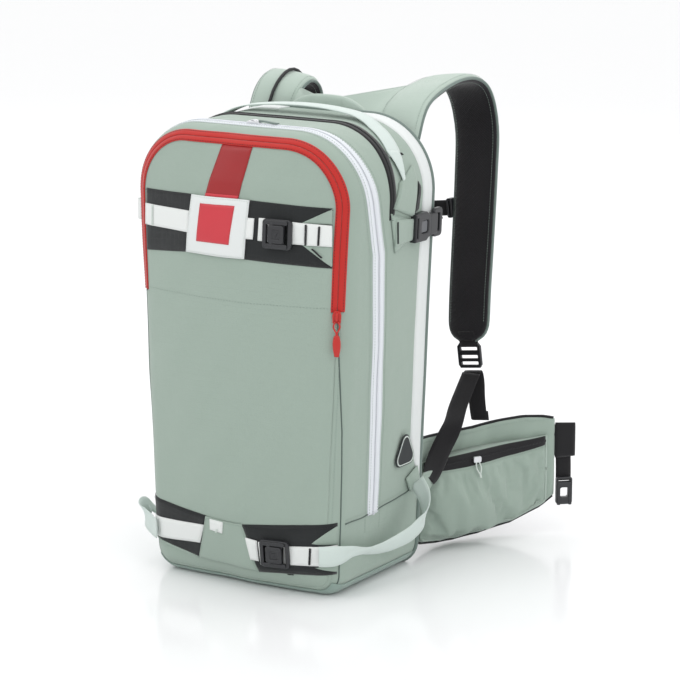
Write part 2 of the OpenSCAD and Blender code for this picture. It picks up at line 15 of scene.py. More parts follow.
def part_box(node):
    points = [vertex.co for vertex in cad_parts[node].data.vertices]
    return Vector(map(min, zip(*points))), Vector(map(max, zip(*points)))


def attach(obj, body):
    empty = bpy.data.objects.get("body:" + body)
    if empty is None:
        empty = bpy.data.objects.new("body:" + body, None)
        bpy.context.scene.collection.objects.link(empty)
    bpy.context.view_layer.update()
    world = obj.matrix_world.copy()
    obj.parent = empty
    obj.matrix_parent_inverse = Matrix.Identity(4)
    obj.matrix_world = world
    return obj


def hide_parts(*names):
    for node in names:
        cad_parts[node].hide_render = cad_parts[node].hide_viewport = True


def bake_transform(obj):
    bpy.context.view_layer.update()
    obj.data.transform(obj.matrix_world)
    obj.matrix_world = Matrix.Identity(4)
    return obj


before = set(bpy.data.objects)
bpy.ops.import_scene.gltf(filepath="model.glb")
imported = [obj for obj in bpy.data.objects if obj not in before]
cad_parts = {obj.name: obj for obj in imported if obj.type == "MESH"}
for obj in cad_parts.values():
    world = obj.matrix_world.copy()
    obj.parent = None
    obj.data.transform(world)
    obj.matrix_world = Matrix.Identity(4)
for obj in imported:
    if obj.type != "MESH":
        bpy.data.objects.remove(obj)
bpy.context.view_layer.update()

log = logging.getLogger("backpack")
logging.basicConfig(level=logging.INFO, format="%(message)s")

MM = 0.001
QUARTER = math.pi / 2
REARWARDS = np.array([0.0, 1.0, 0.0])
UPWARDS = np.array([0.0, 0.0, 1.0])
Line = tuple[np.ndarray, np.ndarray]    # places on a line and their outward directions

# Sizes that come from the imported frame, then those of its rounded edges
HALF_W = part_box("right_side_panel")[1][0]
HALF_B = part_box("base_panel")[1][0]
TOP_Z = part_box("top_panel")[1][2]
BACK_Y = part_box("rear_panel")[1][1]
FRONT_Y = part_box("front_panel")[0][1]
HINGE_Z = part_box("front_flap")[0][2] - MM
CORNER_R = 0.082
BASE_R = 0.030
BULGE = 0.031
SEAM_Y = FRONT_Y + 0.030
EDGE_R = 0.024                  # rounding where the walls turn into the front
WALL_T = 0.0024


# ---------------------------------------------------------------- shader maths

class Value:
    """A shader number that Python's operators turn into Math nodes."""

    def __init__(self, graph: "Graph", socket: bpy.types.NodeSocket) -> None:
        """Wrap one output socket of a graph."""
        self.graph = graph
        self.socket = socket

    def _do(self, operation: str, *terms: object) -> "Value":
        """Add one Math node.

        Args:
            operation: the Math node's operation.
            terms: values or numbers, in the order of its sockets.

        Returns:
            The result as a value.
        """
        made = self.graph.node("ShaderNodeMath", {"operation": operation}, dict(enumerate(terms)))
        return Value(self.graph, made.outputs[0])

    def __add__(self, other: object) -> "Value":
        """Sum."""
        return self._do("ADD", self, other)

    __radd__ = __add__

    def __sub__(self, other: object) -> "Value":
        """Difference."""
        return self._do("SUBTRACT", self, other)

    def __rsub__(self, other: object) -> "Value":
        """Difference with the number first."""
        return self._do("SUBTRACT", other, self)

    def __mul__(self, other: object) -> "Value":
        """Product."""
        return self._do("MULTIPLY", self, other)

    __rmul__ = __mul__

    def __truediv__(self, other: object) -> "Value":
        """Quotient."""
        return self._do("DIVIDE", self, other)

    def __pow__(self, other: object) -> "Value":
        """Power."""
        return self._do("POWER", self, other)

    def sine(self) -> "Value":
        """Sine."""
        return self._do("SINE", self)

    def fraction(self) -> "Value":
        """Part after the point."""
        return self._do("FRACT", self)

    def size(self) -> "Value":
        """Absolute value."""
        return self._do("ABSOLUTE", self)

    def largest(self, other: object) -> "Value":
        """The larger of two."""
        return self._do("MAXIMUM", self, other)

    def above(self, edge: float) -> "Value":
        """One where the value is over the edge, otherwise zero."""
        return self._do("GREATER_THAN", self, edge)


class Graph:
    """Node tree of one material, with one method that makes nodes."""

    def __init__(self, name: str) -> None:
        """Start a material with an empty tree and a Principled shader."""
        self.material = bpy.data.materials.new(name)
        self.material.use_nodes = True
        self.tree = self.material.node_tree
        self.tree.nodes.clear()
        self.shader = self.node("ShaderNodeBsdfPrincipled")
        self.node("ShaderNodeOutputMaterial", {}, {"Surface": self.shader.outputs[0]})

    def node(self, kind: str, settings: dict | None = None, inputs: dict | None = None) -> bpy.types.Node:
        """Make any node.

        Args:
            kind: the node's type name.
            settings: attributes, set before the sockets.
            inputs: socket name or number to a value, a socket or a constant.

        Returns:
            The new node.
        """
        made = self.tree.nodes.new(kind)
        for name, setting in (settings or {}).items():
            setattr(made, name, setting)
        for key, given in (inputs or {}).items():
            given = given.socket if isinstance(given, Value) else given
            if isinstance(given, bpy.types.NodeSocket):
                self.tree.links.new(given, made.inputs[key])
            else:
                made.inputs[key].default_value = given
        return made

    def axes(self, uv: bool) -> tuple[Value, Value, Value]:
        """Coordinates in metres.

        Args:
            uv: True for the piece's own UV map, False for object coordinates.

        Returns:
            The three coordinates as values.
        """
        source = self.node("ShaderNodeTexCoord").outputs["UV" if uv else "Object"]
        split = self.node("ShaderNodeSeparateXYZ", {}, {0: source})
        return tuple(Value(self, out) for out in split.outputs)

    def clouds(self, scale: float, detail: float = 3.0, uv: bool = False) -> Value:
        """Soft noise from 0 to 1 with this many cells in a metre."""
        source = self.node("ShaderNodeTexCoord").outputs["UV" if uv else "Object"]
        made = self.node("ShaderNodeTexNoise", {}, {"Vector": source, "Scale": scale, "Detail": detail})
        return Value(self, made.outputs[0])

    def blend(self, amount: object, first: tuple, second: tuple) -> bpy.types.NodeSocket:
        """Mix two colours by a value from 0 to 1."""
        made = self.node("ShaderNodeMix", {"data_type": "RGBA"},
                         {0: amount, 6: (*first, 1.0), 7: (*second, 1.0)})
        return made.outputs[2]

    def bump(self, height: Value, strength: float, depth: float) -> None:
        """Feed the shader's normal with a height in steps of depth metres."""
        made = self.node("ShaderNodeBump", {}, {"Strength": strength, "Distance": depth, "Height": height})
        self.tree.links.new(made.outputs[0], self.shader.inputs["Normal"])

    def paint(self, **inputs: object) -> None:
        """Set or link the shader's sockets; underscores stand for spaces."""
        for name, given in inputs.items():
            socket = self.shader.inputs[name.replace("_", " ")]
            given = given.socket if isinstance(given, Value) else given
            if isinstance(given, bpy.types.NodeSocket):
                self.tree.links.new(given, socket)
            else:
                socket.default_value = given


def shade(colour: tuple, factor: float) -> tuple:
    """Scale a colour, kept within range."""
    return tuple(min(1.0, part * factor) for part in colour)


def linear(red: int, green: int, blue: int) -> tuple:
    """Turn a display colour of 0 to 255 into the shader's linear one."""
    parts = (red, green, blue)
    return tuple(((c / 255 + 0.055) / 1.055) ** 2.4 if c > 10 else c / 255 / 12.92 for c in parts)


class Weave(Enum):
    """Ways that a cloth is woven or knitted."""

    RIPSTOP = "ripstop"
    PLAIN = "plain"
    WEBBING = "webbing"
    SPACER = "spacer"


@dataclass(frozen=True)
class Cloth:
    """Woven or knitted finish; its pattern reads the piece's UV map in metres."""

    name: str
    colour: tuple
    weave: Weave
    pitch: float
    roughness: float = 0.75
    depth: float = 0.0003
    sheen: float = 0.25
    mottle: float = 0.07
    uv: bool = True
    rumple: float = 0.0

    def make(self) -> bpy.types.Material:
        """Build the material."""
        g = Graph(self.name)
        u, v, w = g.axes(self.uv)
        turn = math.tau / self.pitch
        if not self.uv:
            u, v = u + w * 0.37, w + v * 0.61
        if self.weave is Weave.WEBBING:
            rib = ((v * turn).sine() * 0.5 + 0.5) ** 0.6
            pick = ((u * turn * 0.8 + (v * turn * 0.5).sine() * 1.4).sine()) * 0.5 + 0.5
            height = rib * 0.6 + pick * 0.4
        elif self.weave is Weave.SPACER:
            cell = (u * turn).sine() * (v * turn).sine() + ((u + v) * turn * 0.5).sine() * 0.3
            height = (cell * 0.5 + 0.5) ** 1.5
        else:
            height = ((u * turn).sine() * (v * turn).sine()) * 0.5 + 0.5
        if self.weave is Weave.RIPSTOP:
            rip = 6.0 * self.pitch
            warp, weft = (((t / rip).fraction() - 0.5).size() for t in (u, v))
            height = height * 0.7 + warp.largest(weft).above(0.44) * 0.5
        soft = g.clouds(14.0, 4.0)
        fine = g.clouds(420.0, 2.0)
        tone = (soft - 0.5) * (2.2 * self.mottle) + (fine - 0.5) * self.mottle + 0.5
        # Random tone from the clouds, plus painted shade: where the weave lies lower, its colour is darker.
        tone_and_weave_shade = tone + (height - 0.5) * (0.9 * self.mottle)
        g.paint(Base_Color=g.blend(tone_and_weave_shade, shade(self.colour, 1 - 2.2 * self.mottle),
                                   shade(self.colour, 1 + 2.2 * self.mottle)),
                Roughness=(soft - 0.5) * 0.18 + self.roughness,
                Sheen_Weight=self.sheen, Sheen_Roughness=0.5, Specular_IOR_Level=0.3)
        folds = g.clouds(26.0, 2.0) * (self.rumple / self.depth)
        g.bump(height + fine * 0.35 + folds, 0.5, self.depth)
        return g.material


@dataclass(frozen=True)
class Moulded:
    """Moulded plastic, rubber or lacquer with a fine grain."""

    name: str
    colour: tuple
    roughness: float = 0.42
    grain: float = 900.0
    coat: float = 0.0
    metallic: float = 0.0
    mottle: float = 0.05

    def make(self) -> bpy.types.Material:
        """Build the material."""
        g = Graph(self.name)
        soft = g.clouds(40.0, 3.0)
        fine = g.clouds(self.grain, 2.0)
        tone = (soft - 0.5) * 0.8 + 0.5
        g.paint(Base_Color=g.blend(tone, shade(self.colour, 1 - 2 * self.mottle),
                                   shade(self.colour, 1 + 2 * self.mottle)),
                Roughness=(soft - 0.5) * 0.16 + (fine - 0.5) * 0.08 + self.roughness,
                Metallic=self.metallic, Coat_Weight=self.coat, Coat_Roughness=0.25)
        g.bump(fine, 0.25, 0.00012)
        return g.material


@dataclass(frozen=True)
class Brushed:
    """Metal with fine marks along one axis."""

    name: str
    colour: tuple
    roughness: float = 0.34

    def make(self) -> bpy.types.Material:
        """Build the material."""
        g = Graph(self.name)
        source = g.node("ShaderNodeTexCoord").outputs["Object"]
        turned = g.node("ShaderNodeMapping", {}, {"Vector": source, "Scale": (60.0, 60.0, 2600.0)})
        grain = g.node("ShaderNodeTexNoise", {}, {"Vector": turned.outputs[0], "Scale": 1.0})
        marks = Value(g, grain.outputs[0])
        soft = g.clouds(30.0)
        g.paint(Base_Color=g.blend(soft, shade(self.colour, 0.88), shade(self.colour, 1.08)), Metallic=1.0,
                Roughness=(marks - 0.5) * 0.2 + (soft - 0.5) * 0.1 + self.roughness)
        g.bump(marks, 0.12, 0.0001)
        return g.material


SAGE = linear(153, 169, 158)
# Darker sage of the base cover: painted shade at the bottom of the pack.
SAGE_SHADED = linear(140, 160, 151)
SAGE_STRAP = linear(172, 187, 177)
PALE = linear(224, 227, 225)
MINT = linear(202, 214, 209)
BLACK = linear(29, 32, 33)
BLACK_WEB = linear(21, 20, 23)
RED = linear(184, 34, 27)
STRIPE = linear(150, 14, 18)
ROSE = linear(196, 52, 62)
ORANGE = linear(222, 92, 40)

FINISHES = {
    "sage": Cloth("sage_ripstop", SAGE, Weave.RIPSTOP, 0.0011, mottle=0.05, rumple=0.0045),
    "sage_painted_shade": Cloth("sage_base_painted_shade", SAGE_SHADED, Weave.PLAIN, 0.0013, mottle=0.05, rumple=0.004),
    # Dark sage of the seam beads: the piping's own colour, darkened with painted shade along the seams.
    "sage_seam_painted_shade": Cloth("sage_seam_painted_shade", linear(84, 98, 92), Weave.PLAIN, 0.0013, mottle=0.045),
    "sage_strap": Cloth("sage_strap", SAGE_STRAP, Weave.RIPSTOP, 0.0012, mottle=0.04, rumple=0.004),
    "pale_web": Cloth("pale_webbing", PALE, Weave.WEBBING, 0.0016, depth=0.0004, mottle=0.03, roughness=0.68),
    "mint_web": Cloth("mint_webbing", MINT, Weave.WEBBING, 0.0016, depth=0.0004, mottle=0.03, roughness=0.68),
    "pale_cloth": Cloth("pale_cloth", linear(222, 226, 225), Weave.PLAIN, 0.0010, mottle=0.03),
    "black_cloth": Cloth("black_cloth", BLACK, Weave.RIPSTOP, 0.0012, mottle=0.12, roughness=0.8,
                         rumple=0.004),
    "black_web": Cloth("black_webbing", BLACK_WEB, Weave.WEBBING, 0.0016, depth=0.0004, mottle=0.12),
    "spacer": Cloth("spacer_mesh", linear(22, 20, 24), Weave.SPACER, 0.0034, depth=0.0009, mottle=0.16,
                    roughness=0.85),
    "spacer_puffed": Cloth("spacer_mesh_puffed", linear(22, 20, 24), Weave.SPACER, 0.0034, depth=0.0009,
                           mottle=0.16, roughness=0.85, uv=False),
    "sage_puffed": Cloth("sage_puffed", SAGE, Weave.RIPSTOP, 0.0011, mottle=0.035, uv=False),
    "red_tape": Cloth("red_tape", RED, Weave.WEBBING, 0.0012, depth=0.0002, mottle=0.04, roughness=0.6),
    "pale_tape": Cloth("pale_tape", linear(222, 226, 231), Weave.WEBBING, 0.0012, depth=0.0002, mottle=0.03),
    "black_tape": Cloth("black_tape", BLACK_WEB, Weave.WEBBING, 0.0012, depth=0.0002, mottle=0.1),
    "binding": Cloth("grey_binding", linear(112, 127, 121), Weave.WEBBING, 0.0011, depth=0.0002, mottle=0.05),
    "stripe": Moulded("gloss_stripe", STRIPE, roughness=0.4, grain=300.0, coat=0.15, mottle=0.04),
    "patch": Moulded("rose_patch", ROSE, roughness=0.4, grain=500.0, mottle=0.03),
    "badge": Moulded("badge_rubber", linear(36, 40, 42), roughness=0.6, mottle=0.06),
    "plastic": Moulded("black_acetal", linear(40, 41, 44), roughness=0.36, mottle=0.08),
    "red_plastic": Moulded("red_nylon", RED, roughness=0.38),
    "slate_plastic": Moulded("slate_acetal", linear(92, 94, 98), roughness=0.4),
    "sheet": Moulded("stiff_sheet", linear(60, 62, 66), roughness=0.5),
    "rubber": Moulded("hose_rubber", linear(34, 34, 36), roughness=0.6, grain=600.0),
    "enamel": Moulded("bottle_enamel", linear(206, 208, 210), roughness=0.28, grain=200.0, coat=0.4),
    "airbag": Cloth("airbag_nylon", ORANGE, Weave.PLAIN, 0.0012, mottle=0.1, roughness=0.55, uv=False),
    "steel": Brushed("zip_steel", (0.72, 0.73, 0.75)),
    "alloy": Brushed("anodised_alloy", (0.78, 0.79, 0.81), 0.3),
    "pale_thread": Moulded("pale_thread", linear(205, 214, 208), roughness=0.7),
    "dark_thread": Moulded("dark_thread", linear(24, 24, 27), roughness=0.7),
    "sage_thread": Moulded("sage_thread", linear(140, 156, 147), roughness=0.7),
    "red_coil": Moulded("red_coil", linear(196, 40, 34), roughness=0.35),
    "pale_coil": Moulded("pale_coil", linear(226, 229, 234), roughness=0.35),
    "black_coil": Moulded("black_coil", linear(30, 30, 33), roughness=0.35),
}


@cache
def finish_of(name: str) -> bpy.types.Material:
    """Material of a finish, made the first time that it is asked for."""
    return FINISHES[name].make()


# ---------------------------------------------------------------- mesh helpers

def linked(name: str, data: bpy.types.ID) -> bpy.types.Object:
    """Add an object with this data to the scene."""
    made = bpy.data.objects.new(name, data)
    bpy.context.scene.collection.objects.link(made)
    return made


def frozen_mesh(holder: bpy.types.Object) -> bpy.types.Mesh:
    """Plain mesh of an object as its modifiers leave it."""
    return bpy.data.meshes.new_from_object(holder.evaluated_get(bpy.context.evaluated_depsgraph_get()))


def new_piece(name: str, points: np.ndarray, faces: list, finish: str, uv: np.ndarray) -> bpy.types.Object:
    """Make a smooth-shaded object from points and faces.

    Args:
        name: the piece's name.
        points: N by 3 places in metres.
        faces: lists of point numbers.
        finish: a key of FINISHES.
        uv: N by 2 pattern coordinates in metres.

    Returns:
        The linked object, at the origin.
    """
    mesh = bpy.data.meshes.new(name)
    mesh.from_pydata([tuple(map(float, p)) for p in points], [], faces)
    mesh.materials.append(finish_of(finish))
    layer = mesh.uv_layers.new(name="UVMap")
    where = np.empty(len(mesh.loops), dtype=np.int32)
    mesh.loops.foreach_get("vertex_index", where)
    layer.data.foreach_set("uv", np.asarray(uv, dtype=np.float32)[where].ravel())
    mesh.polygons.foreach_set("use_smooth", [True] * len(mesh.polygons))
    mesh.update()
    return linked(name, mesh)


def settle(piece: bpy.types.Object, body: str, slot: str, *nodes: str) -> bpy.types.Object:
    """Ride a finished piece on a body and hide the nodes that it stands for."""
    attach(piece, body)
    if nodes:
        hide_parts(*nodes)
    return piece


def span_uv(grid: np.ndarray) -> np.ndarray:
    """Pattern coordinates of a grid of points, measured along its rows and columns."""
    along = np.zeros(grid.shape[:2])
    across = np.zeros(grid.shape[:2])
    along[1:] = np.cumsum(np.linalg.norm(np.diff(grid, axis=0), axis=2), axis=0)
    across[:, 1:] = np.cumsum(np.linalg.norm(np.diff(grid, axis=1), axis=2), axis=1)
    across -= across.mean(axis=1, keepdims=True)
    return np.stack([along, across], axis=2)


def grid_faces(rows: int, columns: int, wrap: bool = False, start: int = 0) -> list:
    """Quads of a grid of points, in row order; wrap joins the last column to the first."""
    last = columns if wrap else columns - 1
    return [[start + r * columns + c, start + r * columns + (c + 1) % columns,
             start + (r + 1) * columns + (c + 1) % columns, start + (r + 1) * columns + c]
            for r in range(rows - 1) for c in range(last)]


def outwards(piece: bpy.types.Object) -> bpy.types.Object:
    """Merge doubles of a closed mesh and turn its faces outwards."""
    work = bmesh.new()
    work.from_mesh(piece.data)
    bmesh.ops.remove_doubles(work, verts=work.verts, dist=1e-6)
    bmesh.ops.dissolve_degenerate(work, edges=work.edges, dist=1e-7)
    bmesh.ops.recalc_face_normals(work, faces=work.faces)
    work.to_mesh(piece.data)
    work.free()
    return piece


def sheet(name: str, grid: np.ndarray, finish: str) -> bpy.types.Object:
    """Open sheet over a grid of points."""
    return new_piece(name, grid.reshape(-1, 3), grid_faces(*grid.shape[:2]), finish,
                     span_uv(grid).reshape(-1, 2))


def slab(name: str, lower: np.ndarray, upper: np.ndarray, finish: str) -> bpy.types.Object:
    """Closed piece between two grids of the same shape, with its rim closed."""
    rows, columns = lower.shape[:2]
    count = rows * columns
    faces = grid_faces(rows, columns) + [f[::-1] for f in grid_faces(rows, columns, start=count)]
    rim = ([(0, c) for c in range(columns)] + [(r, columns - 1) for r in range(1, rows)]
           + [(rows - 1, c) for c in range(columns - 2, -1, -1)] + [(r, 0) for r in range(rows - 2, 0, -1)])
    ids = [r * columns + c for r, c in rim]
    for a, b in zip(ids, ids[1:] + ids[:1]):
        faces.append([a, b, b + count, a + count])
    uv = span_uv(upper).reshape(-1, 2)
    made = new_piece(name, np.concatenate([lower.reshape(-1, 3), upper.reshape(-1, 3)]), faces, finish,
                     np.concatenate([uv, uv]))
    return outwards(made)


def band_of(name: str, place: Callable, spots: tuple, low: float, finish: str) -> bpy.types.Object:
    """Closed band along a line, from the profile of its upper side.

    Args:
        name: the piece's name.
        place: gives one long edge of points from a spot across the band and a lift.
        spots: pairs of a spot and the lift of the upper side there.
        low: lift of the underside.
        finish: a key of FINISHES.

    Returns:
        The object.
    """
    upper = np.array([place(spot, lift) for spot, lift in spots])
    lower = np.array([place(spot, low) for spot, _ in spots])
    return slab(name, lower.transpose(1, 0, 2), upper.transpose(1, 0, 2), finish)


def loft(name: str, rings: np.ndarray, finish: str, caps: bool = True) -> bpy.types.Object:
    """Closed tube through rings of points, each ring with the same number of points."""
    rows, columns = rings.shape[:2]
    faces = grid_faces(rows, columns, wrap=True)
    if caps:
        faces.append(list(range(columns)))
        faces.append(list(range((rows - 1) * columns, rows * columns))[::-1])
    return outwards(new_piece(name, rings.reshape(-1, 3), faces, finish, span_uv(rings).reshape(-1, 2)))


def unit(v: np.ndarray) -> np.ndarray:
    """Vectors scaled to length one."""
    return v / np.maximum(np.linalg.norm(v, axis=-1, keepdims=True), 1e-12)


def smooth_path(points: list, steps: int = 8) -> np.ndarray:
    """Curve through points, with this many steps between neighbours."""
    p = np.array(points, dtype=float)
    last = len(p) - 1
    made = []
    for i in range(last):
        a, b, c, d = p[max(i - 1, 0)], p[i], p[i + 1], p[min(i + 2, last)]
        for k in range(steps):
            t = k / steps
            made.append(0.5 * (2 * b + (c - a) * t + (2 * a - 5 * b + 4 * c - d) * t * t
                               + (3 * b - a - 3 * c + d) * t ** 3))
    made.append(p[last])
    return np.array(made)


def tangents(path: np.ndarray) -> np.ndarray:
    """Unit directions along a path."""
    return unit(np.gradient(path, axis=0))


def ribbon(name: str, path: np.ndarray, across: np.ndarray, width: object, thick: float, finish: str,
           sag: float = 0.0) -> bpy.types.Object:
    """Flat webbing along a path, with rounded edges.

    Args:
        name: the piece's name.
        path: N by 3 middle of the webbing.
        across: one direction, or one for each point, over the width.
        width: one width or one for each point.
        thick: its thickness.
        finish: a key of FINISHES.
        sag: how far its middle cups along the normal.

    Returns:
        The object.
    """
    n = len(path)
    across = unit(np.broadcast_to(np.asarray(across, float), path.shape))
    run = tangents(path)
    across = unit(across - run * np.sum(across * run, axis=1, keepdims=True))
    up = np.cross(run, across)
    half = np.broadcast_to(np.asarray(width, float) / 2, (n,))[:, None]
    t = thick / 2
    profile = [(-1.0, 0.0), (-0.97, 0.75), (-0.5, 1.0), (0.0, 1.0), (0.5, 1.0), (0.97, 0.75), (1.0, 0.0),
               (0.97, -0.75), (0.5, -1.0), (0.0, -1.0), (-0.5, -1.0), (-0.97, -0.75)]
    rings = np.stack([path + across * (s * half) + up * (h * t + sag * (1 - s * s)) for s, h in profile],
                     axis=1)
    return loft(name, rings, finish)


def cord_tube(name: str, path: np.ndarray, radius: object, finish: str, sides: int = 8) -> bpy.types.Object:
    """Round tube along a path, with radius one value or one for each point."""
    run = tangents(path)
    guide = UPWARDS if abs(run[:, 2]).mean() < 0.7 else np.array([1.0, 0.0, 0.0])
    side = unit(guide - run * (run @ guide)[:, None])
    up = np.cross(run, side)
    r = np.broadcast_to(np.asarray(radius, float), (len(path),))[:, None]
    angles = [math.tau * k / sides for k in range(sides)]
    rings = np.stack([path + (side * math.cos(a) + up * math.sin(a)) * r for a in angles], axis=1)
    return loft(name, rings, finish)


def plate(name: str, outline: list, holes: list, depth: float, finish: str, place: Vector, right: Vector,
          up: Vector, bevel: float = 0.0008) -> bpy.types.Object:
    """Moulded plate from a flat outline with holes, raised along right x up and bevelled.

    Args:
        name: the piece's name.
        outline: closed list of flat points in metres.
        holes: more closed lists, cut through.
        depth: its thickness, from the place outwards.
        finish: a key of FINISHES.
        place: the origin of the flat points.
        right: direction of the first flat coordinate.
        up: direction of the second.
        bevel: rounding of its edges.

    Returns:
        The object.
    """
    curve = bpy.data.curves.new(name + "_outline", "CURVE")
    curve.dimensions = "2D"
    curve.fill_mode = "BOTH"
    for ring in [outline, *holes]:
        spline = curve.splines.new("POLY")
        spline.points.add(len(ring) - 1)
        for point, (x, y) in zip(spline.points, ring):
            point.co = (x, y, 0.0, 1.0)
        spline.use_cyclic_u = True
    curve.extrude = max(depth / 2 - bevel, 0.0001)
    curve.bevel_depth = bevel
    curve.bevel_resolution = 2
    curve.offset = -bevel
    holder = linked(name + "_outline", curve)
    mesh = frozen_mesh(holder)
    bpy.data.objects.remove(holder)
    mesh.name = name
    out = right.cross(up).normalized()
    for vertex in mesh.vertices:
        x, y, z = vertex.co
        vertex.co = place + right.normalized() * x + up.normalized() * y + out * (z + depth / 2)
    mesh.materials.clear()
    mesh.materials.append(finish_of(finish))
    made = outwards(linked(name, mesh))
    made.data.polygons.foreach_set("use_smooth", [False] * len(made.data.polygons))
    return made


def circle(count: int) -> np.ndarray:
    """Even angles round a full turn."""
    return np.linspace(0, math.tau, count, endpoint=False)


def rounded(width: float, height: float, radius: float, centre: tuple = (0.0, 0.0)) -> list:
    """Rectangle with round corners as flat points."""
    points, steps = [], 5
    for k, (sx, sy) in enumerate(((1, 1), (-1, 1), (-1, -1), (1, -1))):
        for i in range(steps + 1):
            a = QUARTER * (k + i / steps)
            points.append((centre[0] + sx * (width / 2 - radius) + radius * math.cos(a),
                           centre[1] + sy * (height / 2 - radius) + radius * math.sin(a)))
    return points


def joined(name: str, pieces: list) -> bpy.types.Object:
    """Join pieces on one body into one object, keeping their materials and UV maps."""
    first = pieces[0]
    with bpy.context.temp_override(active_object=first, selected_editable_objects=pieces,
                                   selected_objects=pieces, object=first):
        bpy.ops.object.join()
    first.name = name
    first.data.name = name
    return first


def crumple(points: np.ndarray, directions: np.ndarray, cell: float, amount: float,
            seed: float = 0.0) -> np.ndarray:
    """Move points along directions by smooth noise.

    Args:
        points: N by 3 places.
        directions: N by 3 unit vectors.
        cell: size of a fold in metres.
        amount: largest move.
        seed: shifts the noise.

    Returns:
        The moved points.
    """
    shift = np.array([seed, 1.7 * seed, -0.6 * seed])
    heights = np.array([noise.noise(Vector(p / cell + shift)) for p in points])
    return points + directions * (heights * amount)[:, None]


def row_tree() -> bpy.types.NodeTree:
    """Geometry Nodes tree that sets small rounded elements along lines.

    Returns:
        The tree, with inputs Pitch, Size and Finish; lines carry a vector attribute named up.
    """
    tree = bpy.data.node_groups.new("elements_on_lines", "GeometryNodeTree")
    sockets = (("Geometry", "INPUT", "Geometry"), ("Pitch", "INPUT", "Float"), ("Size", "INPUT", "Vector"),
               ("Finish", "INPUT", "Material"), ("Geometry", "OUTPUT", "Geometry"))
    for name, way, kind in sockets:
        tree.interface.new_socket(name, in_out=way, socket_type="NodeSocket" + kind)
    make = tree.nodes.new
    given, result = make("NodeGroupInput"), make("NodeGroupOutput")
    curve, resample = make("GeometryNodeMeshToCurve"), make("GeometryNodeResampleCurve")
    resample.mode = "LENGTH"
    up, run = make("GeometryNodeInputNamedAttribute"), make("GeometryNodeInputTangent")
    up.data_type = "FLOAT_VECTOR"
    up.inputs["Name"].default_value = "up"
    lie, turn = make("FunctionNodeAlignRotationToVector"), make("FunctionNodeAlignRotationToVector")
    lie.axis, turn.axis, turn.pivot_axis = "X", "Z", "X"
    element, scale = make("GeometryNodeMeshIcoSphere"), make("GeometryNodeTransform")
    element.inputs["Radius"].default_value = 0.5
    element.inputs["Subdivisions"].default_value = 1
    place, realize = make("GeometryNodeInstanceOnPoints"), make("GeometryNodeRealizeInstances")
    soften, dress = make("GeometryNodeSetShadeSmooth"), make("GeometryNodeSetMaterial")
    for out, into in (
            (given.outputs["Geometry"], curve.inputs[0]), (curve.outputs[0], resample.inputs[0]),
            (given.outputs["Pitch"], resample.inputs["Length"]),
            (resample.outputs[0], place.inputs["Points"]), (run.outputs[0], lie.inputs["Vector"]),
            (lie.outputs[0], turn.inputs["Rotation"]), (up.outputs[0], turn.inputs["Vector"]),
            (turn.outputs[0], place.inputs["Rotation"]), (element.outputs[0], scale.inputs[0]),
            (given.outputs["Size"], scale.inputs["Scale"]), (scale.outputs[0], place.inputs["Instance"]),
            (place.outputs[0], soften.inputs[0]), (soften.outputs[0], realize.inputs[0]),
            (realize.outputs[0], dress.inputs[0]), (given.outputs["Finish"], dress.inputs["Material"]),
            (dress.outputs[0], result.inputs[0])):
        tree.links.new(out, into)
    return tree


ROWS = row_tree()


class Element(Enum):
    """Small elements of rows: their pitch, then length along the line, width across it and height."""

    STITCH = (0.0034, (0.0025, 0.0007, 0.0006))
    ZIP_STITCH = (0.0034, (0.0024, 0.0007, 0.0006))
    WALL_STITCH = (0.0036, (0.0025, 0.0006, 0.0005))
    TAB_STITCH = (0.0033, (0.0024, 0.0006, 0.0005))
    BAND_STITCH = (0.0031, (0.0023, 0.0006, 0.0005))
    HINGE_STITCH = (0.0040, (0.0028, 0.0005, 0.0003))
    ANCHOR_STITCH = (0.0030, (0.0022, 0.0007, 0.0006))
    BARTACK = (0.0011, (0.0013, 0.0016, 0.0010))
    STRAP_TACK = (0.0011, (0.0018, 0.0013, 0.0009))
    LOOP_TACK = (0.0012, (0.0016, 0.0013, 0.0009))
    FLAP_TOOTH = (0.0021, (0.0016, 0.0026, 0.0020))
    MAIN_TOOTH = (0.0022, (0.0018, 0.0052, 0.0022))
    BURST_TOOTH = (0.0020, (0.0016, 0.0040, 0.0016))
    POCKET_TOOTH = (0.0020, (0.0016, 0.0042, 0.0016))
    GRIP_RIB = (0.0016, (0.0026, 0.0026, 0.0018))


def rows_of(name: str, lines: list[Line], element: Element, finish: str) -> bpy.types.Object:
    """Stitches or zip teeth along lines.

    Args:
        name: the piece's name.
        lines: pairs of N by 3 places and N by 3 (or one) outward directions.
        element: what to set along them.
        finish: a key of FINISHES.

    Returns:
        One plain mesh object.
    """
    points, edges, ups = [], [], []
    for path, up in lines:
        start = len(points)
        points += [tuple(map(float, p)) for p in path]
        ups += [tuple(map(float, u)) for u in np.broadcast_to(up, np.shape(path))]
        edges += [(start + i, start + i + 1) for i in range(len(path) - 1)]
    mesh = bpy.data.meshes.new(name + "_lines")
    mesh.from_pydata(points, edges, [])
    attribute = mesh.attributes.new("up", "FLOAT_VECTOR", "POINT")
    attribute.data.foreach_set("vector", np.array(ups, dtype=np.float32).ravel())
    holder = linked(name + "_lines", mesh)
    modifier = holder.modifiers.new("rows", "NODES")
    modifier.node_group = ROWS
    pitch, size = element.value
    values = {"Pitch": pitch, "Size": size, "Finish": finish_of(finish)}
    for item in ROWS.interface.items_tree:
        if item.in_out == "INPUT" and item.name in values:
            modifier[item.identifier] = values[item.name]
    made_mesh = frozen_mesh(holder)
    bpy.data.objects.remove(holder)
    made_mesh.name = name
    return linked(name, made_mesh)


def solidify(piece: bpy.types.Object, thick: float, side: float = -1.0) -> None:
    """Give an open sheet its wall."""
    wall = piece.modifiers.new("wall", "SOLIDIFY")
    wall.thickness = thick
    wall.offset = side


SWELL_STEPS = 20                # frames that the cloth simulation runs for


